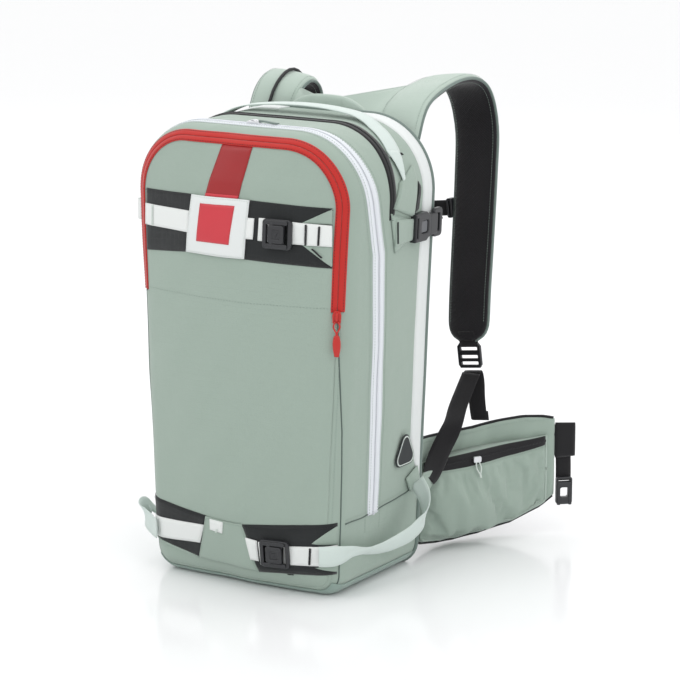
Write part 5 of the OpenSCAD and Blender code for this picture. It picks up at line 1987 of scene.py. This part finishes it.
    def chest(self, name: str, strap: StrapLine) -> None:
        """Sternum strap half: rail clip, short webbing and a side-release half."""
        low, high = (np.array(c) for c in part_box(f"{name}_sternum_strap"))
        z = float(low[2] + high[2]) / 2
        y = float(low[1] + high[1]) / 2
        side = strap.side
        x_clip = float(high[0] if side > 0 else -low[0])
        x_end = float(low[0] if side > 0 else -high[0])
        right = Vector((side * math.cos(LEAN), 0.0, math.sin(LEAN)))
        up = Vector((-side * math.sin(LEAN), 0.0, math.cos(LEAN)))
        def at(x: float, dy: float = 0.0) -> Vector:
            return Vector((side * x, y + dy, z + (x - (x_clip + x_end) / 2) * math.tan(LEAN)))
        clip = plate("clip", rounded(0.0075, 0.0245, 0.0025), [rounded(0.0022, 0.0190, 0.0008)], 0.0110,
                     "plastic",
                     at(x_clip - 0.0042, 0.0055 * side), right, up, 0.0012)
        path = np.array([at(x) for x in np.linspace(x_clip - 0.004, x_end + 0.022, 8)])
        web = ribbon("web", path, np.array(up), 0.0195, 0.0016, "black_web")
        drop = smooth_path([at(x_end + 0.024, 0.004), at(x_end + 0.027, 0.006) - Vector((0, 0, 0.012)),
                            at(x_end + 0.029, 0.005) - Vector((0, 0, 0.016))], 5)
        tail = ribbon("tail", drop, np.array(right), 0.0120, 0.0012, "black_web")
        slots = [rounded(0.0032, 0.0190, 0.001, (0.0080, 0.0)),
                 rounded(0.0070, 0.0110, 0.0015, (-0.0040, 0.0))]
        half = plate("half", rounded(0.0240, 0.0245, 0.004), slots, 0.0075, "plastic",
                     at(x_end + 0.0128, 0.0036 * side), right, up, 0.0015)
        settle(joined(f"{name}_chest_strap", [clip, web, half, tail]), f"{name}_sternum", "black_plastic",
               f"{name}_sternum_strap")

    def yoke(self) -> None:
        """Padded piece between the straps' roots, with two seams."""
        low, high = (np.array(c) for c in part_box("yoke"))
        z = np.linspace(float(low[2]) + 0.0005, float(high[2]) - 0.0005, 22)[:, None]
        half = (STRAP_X - 0.0307) - (z - ROOT_Z) * math.sin(LEAN)
        u = np.linspace(-1, 1, 40)[None, :]
        x = half * u
        v = (z - low[2]) / (high[2] - low[2])
        crown = np.clip(1 - np.abs(2 * v - 1) ** 5, 0, 1) ** 0.5 * np.clip(1 - np.abs(u) ** 12, 0, 1) ** 0.5
        seam = 1 - 0.35 * np.exp(-((np.abs(x) - 0.022) / 0.0022) ** 2)
        mid = float(low[1] + high[1]) / 2
        reach = float(high[1] - low[1]) / 2
        zz = low[2] + (z - low[2]) * (1 - 0.30 * np.abs(u) ** 3.0)
        rear = np.stack([x, mid + (0.0012 + reach * 0.9 * crown) * seam, zz], axis=-1)
        ease = np.clip(1 - np.abs(u) ** 4, 0, 1) ** 0.6
        front = np.stack([x, mid - (0.0012 + reach * 0.75 * crown * ease) * seam, zz], axis=-1)
        piece = slab("yoke_pad", front, rear, "sage_strap")
        settle(piece, "pack", "sage_fabric", "yoke")
        rows = []
        zs = np.linspace(float(low[2]) + 0.004, float(high[2]) - 0.004, 20)
        for at in (-0.022, 0.022):
            for side in (-0.0022, 0.0022):
                row = np.stack([np.full(20, at + side), np.full(20, mid + reach * 0.86), zs], axis=1)
                rows.append((row, (0.0, 1.0, 0.0)))
        settle(rows_of("yoke_stitches", rows, Element.STITCH, "sage_thread"), "pack", "sage_fabric")
        for name, strap, last in (("right", RIGHT_LINE, 40), ("left", LEFT_LINE, 18)):
            self.collar(name, strap, last, float(high[2]))

    def collar(self, name: str, strap: StrapLine, last: int, top: float) -> None:
        """Cloth web from the yoke's upper edge to the rising part of a strap.

        Args:
            name: right or left.
            strap: the strap's line.
            last: station of the strap where the web runs out.
            top: height of the yoke's upper edge.
        """
        line = strap.line()
        out = strap.outer(line)
        stations = np.arange(2, last)
        at = line[stations] + out[stations] * 0.0030
        inner = strap.place(-self.taper(len(line))[stations] + 0.0035, at)
        share = np.linspace(0, 1, len(stations))[:, None]
        start = np.array([strap.side * 0.0560, BACK_Y + 0.006, top - 0.048])
        end = np.array([strap.side * 0.0180, BACK_Y + 0.007, top - 0.002])
        yoke_side = start + (end - start) * np.clip(share * 1.35, 0, 1) ** 0.8
        rest = np.clip((share - 0.74) / 0.26, 0, 1)
        yoke_side = yoke_side + (inner[-1] - yoke_side) * rest ** 1.6
        v = np.linspace(0, 1, 16)[None, :, None]
        grid = yoke_side[:, None] * (1 - v) + inner[:, None] * v
        grid[..., 2] -= 0.007 * np.sin(np.pi * v[..., 0]) * np.sin(np.pi * share)
        lower = grid - np.array([0.0, 0.0006, 0.0030])
        piece = slab(f"{name}_collar_web", lower, grid, "sage_strap")
        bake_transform(piece)

    def adjusters(self) -> None:
        """Adjusting webbing from the locks to sewn triangles low on the pack, with its loose tails."""
        webs, tabs, sewn = [], [], []
        for strap in (RIGHT_LINE, LEFT_LINE):
            side = strap.side
            tip = strap.line()[-1]
            head = strap.world(0.0, tip[0] - 0.0015, tip[1] - 0.0405)
            foot = np.array([side * (float(BODY.half_at(0.1)) - 0.0022), BACK_Y + 0.0260, 0.0985])
            mid = (head + foot) / 2 + np.array([side * 0.0050, -0.004, 0.001])
            path = smooth_path([head, head * 0.7 + foot * 0.3, mid, head * 0.25 + foot * 0.75, foot], 8)
            t = np.linspace(0, 1, len(path))
            twist = np.interp(t, [0, 0.15, 0.85, 1.0], [0.0, 0.1, 1.35, QUARTER])
            across = np.stack([np.cos(twist), np.sin(twist) * 0.85, np.sin(twist) * 0.5], axis=1)
            webs.append(ribbon("adjuster", path, across, 0.0245, 0.0017, "black_web"))
            for part, offsets, steps, width in (("adjuster_tail", TAIL, 6, 0.0235),
                                                ("tail_hem", TAIL_HEM, 4, 0.0240)):
                places = [strap.world(0.0, tip[0] + y * MM, tip[1] + z * MM) for y, z in offsets]
                webs.append(ribbon(part, smooth_path(places, steps), strap.across(), width, 0.0016,
                                   "black_web"))
            x = side * (float(BODY.half_at(0.086)) - 0.0030)
            outline = [(0.0, -0.0180), (0.0385, 0.0060), (0.0350, 0.0215), (0.0140, 0.0225), (0.0, 0.0140)]
            y0, z0 = BACK_Y - 0.0002, 0.0860
            ring = [(side * px, pz) for px, pz in outline][::side]
            tabs.append(plate("anchor_triangle", ring, [], 0.0034, "sage",
                              Vector((x - side * 0.0017, y0, z0)),
                              Vector((0.0, side, 0.0)), Vector((0, 0, 1)), 0.0010))
            curve, bar = (np.array([(x + side * 0.0019, y0 + a, z0 + b) for a, b in spots]) for spots in
                          (((0.004, 0.0118), (0.015, 0.0190), (0.033, 0.0180)),
                           ((0.022, -0.001), (0.034, 0.008))))
            sewn += [(row, (side * 1.0, 0.0, 0.0)) for row in (smooth_path(curve, 5), bar)]
        settle(joined("adjusting_webbing", webs), "pack", "black_fabric", "anchor_webbing")
        settle(joined("anchor_triangles", tabs), "pack", "sage_fabric")
        settle(rows_of("anchor_stitches", sewn, Element.ANCHOR_STITCH, "sage_thread"), "pack", "sage_fabric")

    @staticmethod
    def handle() -> None:
        """Red trigger handle with finger waists, on its hook tape on the left strap."""
        low, high = (np.array(c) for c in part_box("trigger_handle"))
        top = LEFT_LINE.world(0.0, (low[1] + high[1]) / 2, ROOT_Z - 0.127)
        end = LEFT_LINE.world(0.0, (low[1] + high[1]) / 2, ROOT_Z - 0.201)
        run = unit(end - top)
        across = LEFT_LINE.across()
        out = REARWARDS
        rings = []
        for t in np.linspace(0.0, 1.0, 34):
            round_end = math.sqrt(max(0.0, 1 - abs(2 * t - 1) ** 9))
            wide = 0.0125 * (0.35 + 0.65 * round_end) * (1 - 0.10 * math.sin(3 * math.pi * t) ** 2)
            deep = 0.0070 * (0.35 + 0.65 * round_end)
            centre = top + (end - top) * (0.01 + 0.98 * t)
            rings.append([centre + across * (wide * math.copysign(abs(math.cos(a)) ** 0.7, math.cos(a)))
                          + out * (deep * math.copysign(abs(math.sin(a)) ** 0.7, math.sin(a)))
                          for a in circle(24)])
        grip = loft("trigger_grip", np.array(rings), "red_plastic")
        bars = []
        for t in (0.28, 0.40, 0.52, 0.64, 0.76):
            centre = top + (end - top) * t + out * 0.0068
            bars.append((np.array([centre - across * 0.007, centre + across * 0.007]), tuple(out)))
        ribs = rows_of("trigger_ribs", bars, Element.GRIP_RIB, "red_plastic")
        neck = np.array([top + run * along for along in (-0.0012, 0.003, 0.006)])
        collar = cord_tube("trigger_collar", neck, 0.0038, "plastic", 14)
        settle(joined("trigger_handle_moulding", [grip, ribs, collar]), "trigger", "gloss_red",
               "trigger_handle")


# ---------------------------------------------------------------- hip belt

# Heights of a wing's edges by distance behind the pack, in millimetres
WING_LOW = ((0, 30), (25, 18), (46, 10), (75, 5.5), (100, 4.5),
            (132, 8), (164, 18), (190, 36), (205, 53), (215, 74))
WING_HIGH = ((0, 142), (60, 141), (100, 140), (125, 142), (150, 147),
             (175, 151), (192, 150), (203, 147), (210, 141), (215, 132))
POCKET_START = 0.17             # where the pocket begins, as a share of the wing
POCKET_REACH = 0.78             # its length, as a share of the wing
POCKET_ZIP = 0.93               # height of its zip, as a share of the pocket
END_Z = 0.119                   # height of the belt ends' webbing


@dataclass
class Belt:
    """Padded wings, the zipped pocket, the gear loop and the two buckle ends."""

    thick: float = 0.012
    pivot_x: float = HALF_B - 0.026
    pivot_y: float = BACK_Y + 0.0066
    pocket_bulge: float = 0.034

    def build(self) -> None:
        """Make both wings and their fittings."""
        for side, name in ((1, "right"), (-1, "left")):
            self.wing(side, name)
            self.end(side, name)
        self.pocket()
        self.gear_loop()

    def route(self) -> np.ndarray:
        """Middle line of the right wing in X and Y."""
        offsets = ((0, 0), (4, 46), (16, 92), (48, 142), (104, 196))
        places = [(self.pivot_x + x * MM, self.pivot_y + y * MM, 0.0) for x, y in offsets]
        return smooth_path(places, 14)[:, :2]

    def spot(self, share: np.ndarray) -> Line:
        """Places on the route and their outward directions, for shares of its length."""
        line = self.route()
        run = unit(np.gradient(line, axis=0))
        out = np.stack([run[:, 1], -run[:, 0]], axis=1)
        at = np.asarray(share, float) * (len(line) - 1)
        index = np.arange(len(line))
        place = np.stack([np.interp(at, index, line[:, k]) for k in (0, 1)], axis=-1)
        return place, unit(np.stack([np.interp(at, index, out[:, k]) for k in (0, 1)], axis=-1))

    @staticmethod
    def edge_height(y: np.ndarray, edge: tuple) -> np.ndarray:
        """Height of the lower or upper edge at a depth."""
        return np.interp((np.asarray(y) - BACK_Y) / MM, *zip(*edge)) * MM

    def face(self, side: int, share: np.ndarray, level: np.ndarray, off: np.ndarray) -> np.ndarray:
        """Points on a wing.

        Args:
            side: 1 for the right wing, -1 for the left.
            share: 0 at the pack to 1 at the free end.
            level: 0 at the lower edge to 1 at the upper one.
            off: distance outwards from the middle of the wing.

        Returns:
            Places with the same shape, by 3.
        """
        share, level, off = np.broadcast_arrays(*(np.asarray(v, float) for v in (share, level, off)))
        place, out = self.spot(share)
        y = place[..., 1]
        z = self.edge_height(y, WING_LOW) * (1 - level) + self.edge_height(y, WING_HIGH) * level
        x = place[..., 0] + out[..., 0] * off
        return np.stack([side * x, y + out[..., 1] * off, z], axis=-1)

    def wing(self, side: int, name: str) -> None:
        """Padded wing: cloth outside, mesh inside, bound in black."""
        share = np.linspace(0.0, 0.997, 56)[:, None]
        level = 0.5 + 0.5 * np.sin(np.linspace(-QUARTER, QUARTER, 34))[None, :]
        tip = np.clip((1.004 - share) / 0.06, 0, 1) ** 0.5
        rim = np.clip(1 - np.abs(2 * level - 1) ** 6, 0, 1) ** 0.5 * tip
        fold = 0.0011 * np.sin(share * 27 + level * 4) * rim + 0.0008 * np.sin(share * 61 - level * 9)
        groove = 1 - 0.4 * np.exp(-((level - 0.80) / 0.016) ** 2)
        outer = self.face(side, share, level, 0.0005 + (self.thick / 2 - 0.0008) * rim * groove + fold * rim)
        middle = self.face(side, share, level, 0.0 * rim)
        channels = 1 - 0.35 * np.exp(-((np.abs(level - 0.5) - 0.20) / 0.014) ** 2)
        inner = self.face(side, share, level, -0.0005 - (self.thick / 2 - 0.0008) * rim * channels)
        cloth = slab(f"{name}_wing_cloth", middle, outer, "sage")
        settle(cloth, f"{name}_wing", "sage_fabric", f"{name}_belt_wing")
        mesh = slab(f"{name}_wing_mesh", inner, middle, "spacer")
        settle(mesh, f"{name}_wing", "foam_mesh")
        s = np.linspace(0.0, 0.985, 60)
        loop = np.concatenate([self.face(side, s, 0.0, 0.0),
                               self.face(side, 0.985, np.linspace(0.02, 0.98, 14), 0.0),
                               self.face(side, s[::-1], 1.0, 0.0)])
        settle(cord_tube(f"{name}_wing_binding", loop, 0.0022, "black_tape", 8), f"{name}_wing",
               "black_fabric")
        lines = []
        for height in (0.795, 0.965):
            sewn, under, over = (self.face(side, s[3:-3], height, self.thick * share)
                                 for share in (0.45, 0.0, 1.0))
            lines.append((sewn, unit(over - under)))
        settle(rows_of(f"{name}_wing_stitches", lines, Element.STITCH, "sage_thread"),
               f"{name}_wing", "sage_fabric")

    def bulge(self, along: np.ndarray, up: np.ndarray) -> np.ndarray:
        """How far the pocket stands out, for shares of its length and height."""
        side = np.clip(np.sin(np.pi * np.clip(along, 0, 1)), 0, 1) ** 0.75
        tall = np.clip(np.sin(np.pi * (0.10 + 0.80 * np.clip(up, 0, 1) ** 1.05)), 0, 1) ** 0.6
        low = np.clip(up / 0.10, 0, 1) ** 0.5
        return self.pocket_bulge * side * tall * low

    def pocket_face(self, along: np.ndarray, up: np.ndarray, off: object = 0.0) -> np.ndarray:
        """Points on the pocket's cloth; its top edge rises towards the free end."""
        along, up, off = np.broadcast_arrays(*(np.asarray(v, float) for v in (along, up, off)))
        share = POCKET_START + POCKET_REACH * along
        place, out = self.spot(share)
        z0 = self.edge_height(place[..., 1], WING_LOW) + 0.004
        z1 = 0.1180 - 0.004 * (1 - along) ** 2 + 0.010 * along ** 3
        z = z0 * (1 - up) + z1 * up
        away = self.thick / 2 + 0.0012 + self.bulge(along, up) + off
        crease = 0.0010 * np.sin(along * 31 + up * 8) * np.clip(1 - up, 0, 1) * np.clip(along * 8, 0, 1)
        away = away + crease * np.clip((1 - along) * 6, 0, 1)
        return np.stack([place[..., 0] + out[..., 0] * away, place[..., 1] + out[..., 1] * away, z], axis=-1)

    def pocket_line(self, along: object, up: float, off: float) -> Line:
        """Line on the pocket at one height, with its outward directions."""
        away = unit(self.pocket_face(along, up, 0.004) - self.pocket_face(along, up))
        return self.pocket_face(along, up, off), away

    def pocket(self) -> None:
        """Bellied pocket with its black zip band, coil, slider and pull."""
        along = np.linspace(0, 1, 64)[:, None]
        up = np.linspace(0, 1, 40)[None, :]
        outer = self.pocket_face(along, up)
        share = POCKET_START + POCKET_REACH * along
        place, out = self.spot(share)
        base = outer.copy()
        for k in (0, 1):
            base[..., k] = place[..., k] + out[..., k] * (self.thick / 2 + 0.0002)
        piece = slab("right_pocket_cloth", base, outer, "sage")
        count = 64 * 40
        rise = np.arange(count) % 40
        row = np.arange(count) // 40
        sewn = count + np.flatnonzero((rise <= 2) | (rise >= 32) | (row <= 1) | (row >= 62))
        puffed(piece, 0.004, 5.0, 0.0, np.concatenate([np.arange(count), sewn]), 0.07)
        settle(piece, "right_wing", "sage_fabric", "right_belt_pocket")
        s = np.linspace(0.02, 0.985, 70)
        spots = ((0.865, 0.0004), (0.875, 0.0013), (0.925, 0.0015), (0.985, 0.0013), (0.998, 0.0004))
        band = band_of("right_pocket_band", partial(self.pocket_face, s), spots, -0.0003, "black_tape")
        settle(band, "right_wing", "black_fabric")
        settle(rows_of("right_pocket_teeth", [self.pocket_line(s, POCKET_ZIP, 0.0012)],
                       Element.POCKET_TOOTH, "black_coil"), "right_wing", "black_fabric")
        seam = [self.pocket_line(s, v, 0.0004) for v in (0.055, 0.845)]
        settle(rows_of("right_pocket_stitches", seam, Element.STITCH, "sage_thread"), "right_wing",
               "sage_fabric")
        rim = np.concatenate([self.pocket_face(s, 0.0), self.pocket_face(0.99, np.linspace(0.02, 0.98, 16))])
        settle(cord_tube("right_pocket_piping", rim, 0.0014, "sage_strap", 8), "right_wing", "sage_fabric")
        self.pocket_slider()

    def pocket_slider(self) -> None:
        """Small slider with a pale cord loop."""
        low, high = (np.array(c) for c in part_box("pocket_zip_slider"))
        middle = (low[1] + high[1]) / 2
        best = min(np.linspace(0.2, 0.8, 61), key=lambda a: abs(self.pocket_face(a, POCKET_ZIP)[1] - middle))
        at, out = (Vector(v) for v in self.pocket_line(best, POCKET_ZIP, 0.0044))
        up = Vector((0.0, 0.0, 1.0))
        right = up.cross(out).normalized()
        body = plate("pocket_slider_body", rounded(0.0110, 0.0076, 0.0020), [], 0.0032, "steel", at, right,
                     up, 0.0008)
        loop = []
        for side, steps in ((-1, np.linspace(0, 1, 9)), (1, np.linspace(1, 0, 9))):
            for t in steps:
                wide = 0.0028 * math.sin(math.pi * min(1.0, t * 1.2 + 0.08)) + 0.0005
                hang = at + out * (0.0022 + 0.0085 * t) - up * (0.0020 + 0.0190 * t)
                loop.append(hang + right * (side * wide))
        cord = cord_tube("pocket_pull_cord", np.array(loop), 0.0009, "pale_thread", 8)
        settle(joined("pocket_slider_with_cord", [body, cord]), "pocket_slider", "zip_metal",
               "pocket_zip_slider")

    def gear_loop(self) -> None:
        """Webbing loop standing out of the left wing, tacked at both ends."""
        low, high = (np.array(c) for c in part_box("left_gear_loop"))
        z = float(low[2] + high[2]) / 2
        share = np.linspace(0.40, 0.86, 34)
        place, out = self.spot(share)
        swell = 0.0015 + 0.0135 * np.sin(np.linspace(0, math.pi, 34)) ** 0.8 + self.thick / 2
        path = np.stack([-(place[:, 0] + out[:, 0] * swell), place[:, 1] + out[:, 1] * swell,
                         np.full(34, z)], axis=1)
        web = ribbon("gear_loop_web", path, UPWARDS, 0.0235, 0.0018, "black_web")
        tacks = []
        for k in (1, 3, 30, 32):
            ends = np.array([path[k] + (0, 0, s) for s in (-0.010, 0.010)])
            tacks.append((ends + np.array([-out[k, 0], out[k, 1], 0.0]) * 0.0012,
                          (-out[k, 0], out[k, 1], 0.0)))
        sewn = rows_of("gear_loop_tacks", tacks, Element.LOOP_TACK, "pale_thread")
        settle(joined("left_gear_loop_webbing", [web, sewn]), "left_wing", "black_fabric", "left_gear_loop")

    def end(self, side: int, name: str) -> None:
        """Elastic sleeve, folded webbing and a side-release half beyond the wing's end."""
        line = self.route()
        tip = line[-1]
        run = unit(line[-1] - line[-3])
        out = np.array([run[1], -run[0]])
        def at(along: float, off: float, z: float) -> np.ndarray:
            return np.array([side * (tip[0] + run[0] * along + out[0] * off),
                             tip[1] + run[1] * along + out[1] * off, z])
        rings = []
        for t in np.linspace(0, 1, 9):
            ring = []
            for a in circle(20):
                deep = 0.0030 * math.copysign(abs(math.sin(a)) ** 0.8, math.sin(a))
                deep *= 0.75 if t in (0, 1) else 1.0
                tall = 0.0225 * math.copysign(abs(math.cos(a)) ** 0.25, math.cos(a))
                ring.append(at(0.0010 + 0.0252 * t, deep, END_Z + tall * (1 - 0.05 * t)))
            rings.append(ring)
        sleeve = loft("sleeve", np.array(rings), "black_web")
        path = np.array([at(along, 0.0, END_Z) for along in np.linspace(-0.012, 0.014, 9)])
        tongue = ribbon(f"{name}_end_tongue", path, UPWARDS, 0.0400, 0.0036, "black_web")
        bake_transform(tongue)
        fold = smooth_path([at(0.0125, -0.0036, 0.126), at(0.0125, -0.0044, 0.105),
                            at(0.0130, -0.0040, 0.085),
                            at(0.0130, -0.0034, 0.066)], 6)
        flat = np.array([side * run[0], run[1], 0.0])
        hanging = ribbon("hanging_web", fold, flat, 0.0195, 0.0017, "black_web")
        right = Vector(flat) * side
        up = Vector((0.0, 0.0, 1.0))
        spot = Vector(at(0.0130, -0.0042, 0.054))
        slots = [rounded(0.0150, 0.0032, 0.001, (0.0, 0.0130)),
                 rounded(0.0100, 0.0120, 0.002, (0.0, -0.0020))]
        half = plate("half", rounded(0.0205, 0.0350, 0.0035), slots, 0.0080, "plastic", spot, right, up,
                     0.0016)
        ridge = spot + right.cross(up) * 0.0040
        prongs = [plate("prong", rounded(0.0042, 0.0100, 0.0012, (s * 0.0072, -0.0130)), [], 0.0046,
                        "plastic",
                        ridge, right, up, 0.0009) for s in (-1, 1)]
        settle(joined(f"{name}_belt_end_parts", [sleeve, hanging, half, *prongs]), f"{name}_end",
               "black_plastic",
               f"{name}_belt_end")


# ---------------------------------------------------------------- back panel

@dataclass
class BackPanel:
    """Rear panel with its quilting, and the three mesh pads against the back."""

    channel: float = 0.050

    def build(self) -> None:
        """Make the panel and the pads."""
        self.panel()
        self.pads()

    def panel(self) -> None:
        """Closed quilted panel inside the bound rear edge."""
        p, _ = BODY.outline(0.0, 1.0, 241, inset=0.0022)
        ring = p[:-1]
        centre = np.array([0.0, 0.27])
        shares = np.concatenate([np.linspace(1.0, 0.9, 6), np.linspace(0.88, 0.0, 30)])
        low, high = (np.array(c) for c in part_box("rear_panel"))
        front, rear = [], []
        for s in shares:
            x = centre[0] + (ring[:, 0] - centre[0]) * s
            z = centre[1] + (ring[:, 1] - centre[1]) * s
            rim = min(1.0, math.sqrt(max(0.0, 1 - ((s - 0.90) / 0.10) ** 2))) if s > 0.90 else 1.0
            across, up = (np.abs(np.sin(v * math.pi / pitch)) ** 0.5 for v, pitch in ((x, 0.034), (z, 0.044)))
            quilt = 0.0010 * across * up
            y = float(high[1]) - 0.0032 + (0.0022 + quilt) * rim
            rear.append(np.stack([x, y, z], axis=1))
            front.append(np.stack([x, np.full(len(x), float(low[1]) + 0.0003), z], axis=1))
        rings = np.array(front[::-1] + rear)
        piece = loft("rear_panel_cloth", rings, "black_cloth", caps=False)
        settle(piece, "pack", "black_fabric", "rear_panel")

    def pads(self) -> None:
        """Two long pads and a lumbar pad with sewn channels."""
        low, high = (np.array(c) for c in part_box("back_pads"))
        base = float(low[1])
        thick = float(high[1] - low[1])
        spec = (("right_back_pad", 0.055, 0.297, 0.060, 0.297),
                ("left_back_pad", -0.055, 0.297, 0.060, 0.297),
                ("lumbar_pad", 0.0, 0.081, 0.170, 0.0972))
        for k, (name, x, z, wide, tall) in enumerate(spec):
            piece = self.pad(name, x, z, wide, tall, base, thick)
            settle(piece, "pack", "foam_mesh", *(("back_pads",) if k == 0 else ()))

    def pad(self, name: str, cx: float, cz: float, wide: float, tall: float, base: float,
            thick: float) -> bpy.types.Object:
        """One crowned pad.

        Args:
            name: the piece's name.
            cx: its middle in X.
            cz: its middle in Z.
            wide: its width.
            tall: its height.
            base: Y of its flat side.
            thick: its thickness.

        Returns:
            The closed pad.
        """
        r = 0.020
        t = np.linspace(0, QUARTER, 7)
        foot = -tall / 2 + r * (1 - np.cos(t))
        straight = np.linspace(-tall / 2 + r, tall / 2 - r, max(6, int(tall / 0.006)))[1:-1]
        v = np.concatenate([foot, straight, -foot[::-1]])
        inset = np.maximum(np.abs(v) - (tall / 2 - r), 0.0)
        half = wide / 2 - r + np.sqrt(np.maximum(r * r - inset ** 2, 1e-8))
        u = np.sin(np.linspace(-QUARTER, QUARTER, 26))[None, :]
        x = cx + half[:, None] * u
        z = np.broadcast_to(cz + v[:, None], x.shape)
        edge = np.minimum(1 - np.abs(u), 0 * v[:, None] + 1) * wide / 2
        rim = np.minimum(edge, (tall / 2 - np.abs(v))[:, None])
        crown = np.clip(1 - (1 - np.clip(rim / 0.012, 0, 1)) ** 2.4, 0, 1)
        count = max(1, round(tall / self.channel))
        pitch = tall / count
        phase = np.abs(((z - cz + tall / 2) / pitch + 0.5) % 1.0 - 0.5) * pitch
        groove = 1 - 0.42 * np.exp(-(phase / 0.0035) ** 2) * (np.abs(np.abs(v[:, None]) - tall / 2) > 0.01)
        puff = 1 + 0.12 * np.cos(np.clip(np.abs(u) * 1.4, 0, QUARTER))
        swell = 0.0030
        shrink = 1 - 2 * swell / wide
        y = base + 0.0006 + (thick - 0.0008 - swell) * crown * 1.0 * puff
        upper = np.stack([cx + (x - cx) * shrink, y, z], axis=-1)
        lower = np.stack([cx + (x - cx) * shrink, np.full_like(x, base), z], axis=-1)
        piece = slab(name, lower, upper, "spacer_puffed")
        puffed(piece, swell + 0.002, voxel=0.004)
        at = np.array([v.co for v in piece.data.vertices])
        phase = np.abs(((at[:, 2] - cz + tall / 2) / pitch + 0.5) % 1.0 - 0.5) * pitch
        inside = np.clip((tall / 2 - 0.006 - np.abs(at[:, 2] - cz)) / 0.006, 0, 1)
        press = 1 - 0.42 * np.exp(-(phase / 0.0038) ** 2) * inside
        at[:, 1] = np.clip(base + (at[:, 1] - base) * press, base, base + thick + 0.0015)
        at[:, 0] = cx + np.clip(at[:, 0] - cx, -wide / 2, wide / 2)
        at[:, 2] = cz + np.clip(at[:, 2] - cz, -tall / 2, tall / 2)
        move_points(piece, at)
        return piece


# ---------------------------------------------------------------- stage

@dataclass(frozen=True)
class Studio:
    """Pale floor, soft lights and the camera."""

    azimuth: float = math.radians(31.83)
    elevation: float = math.radians(12.36)
    distance: float = 3.4129
    lens: float = 152.9
    aim: tuple = (0.06404, -0.0039)
    middle: float = 0.280

    def build(self) -> None:
        """Set the floor, the world, the lights and the camera."""
        back = Vector((math.sin(self.azimuth) * math.cos(self.elevation),
                       -math.cos(self.azimuth) * math.cos(self.elevation), math.sin(self.elevation)))
        right = Vector((math.cos(self.azimuth), math.sin(self.azimuth), 0.0))
        up = back.cross(right)
        target = Vector((0.0, 0.0, self.middle)) + right * self.aim[0] + up * self.aim[1]
        camera = bpy.data.cameras.new("camera")
        camera.lens = self.lens
        camera.sensor_width = 36.0
        camera.clip_end = 50.0
        holder = linked("camera", camera)
        holder.location = target + back * self.distance
        holder.rotation_mode = "QUATERNION"
        holder.rotation_quaternion = (-back).to_track_quat("-Z", "Y")
        bpy.context.scene.camera = holder
        self.floor()
        self.world()
        self.light("key", (-1.5, -2.6, 2.6), 1.8, 15.0)
        self.light("side", (2.8, -1.2, 1.7), 1.6, 9.0)
        self.light("top", (0.2, 0.3, 3.2), 2.4, 22.0)
        self.light("rear", (-1.2, 2.8, 2.0), 1.8, 10.0)

    def floor(self) -> None:
        """Plain pale floor with a faint gloss, fading into the background."""
        size = 12.0
        mesh = bpy.data.meshes.new("floor")
        mesh.from_pydata([(-size, -size, 0), (size, -size, 0), (size, size, 0), (-size, size, 0)], [],
                         [[0, 1, 2, 3]])
        g = Graph("floor_white")
        g.paint(Base_Color=(0.93, 0.935, 0.945, 1.0), Roughness=0.16, Specular_IOR_Level=0.35)
        mesh.materials.append(g.material)
        linked("floor", mesh)

    def world(self) -> None:
        """Even white surroundings."""
        world = bpy.data.worlds.new("studio")
        world.use_nodes = True
        background = world.node_tree.nodes["Background"]
        background.inputs["Color"].default_value = (1.0, 1.0, 1.0, 1.0)
        background.inputs["Strength"].default_value = 1.0
        bpy.context.scene.world = world
        bpy.context.scene.view_settings.view_transform = "Standard"

    def light(self, name: str, place: tuple, size: float, power: float) -> None:
        """Add one soft square light that faces the pack."""
        data = bpy.data.lights.new(name, "AREA")
        data.size = size
        data.energy = power
        holder = linked(name, data)
        holder.location = place
        holder.rotation_mode = "QUATERNION"
        holder.rotation_quaternion = (Vector((0.0, 0.0,
                                              self.middle)) - Vector(place)).to_track_quat("-Z", "Y")


# ---------------------------------------------------------------- carried-over nodes

KEPT_FINISHES = {
    "frame_sheet": "sheet", "frame_stays": "alloy", "airbag_bundle": "airbag", "gas_cartridge": "enamel",
    "valve_block": "alloy", "valve_lever": "red_plastic", "air_inlet": "plastic", "gas_hose": "rubber",
    "trigger_cable_pack": "rubber", "trigger_cable_strap": "rubber",
}


def dress_kept_nodes() -> None:
    """Give each node that stays its finish."""
    for node, finish in KEPT_FINISHES.items():
        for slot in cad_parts[node].material_slots:
            slot.material = finish_of(finish)


def main() -> None:
    """Build every sub-assembly in order."""
    Studio().build()
    for part in (PackBody(), FrontSheet(), UpperBand(), LowerBand(), SideCompression(), Harness(), Belt(),
                 BackPanel()):
        part.build()
        log.info("built %s", type(part).__name__)
    dress_kept_nodes()


if __name__ == "__main__":
    main()
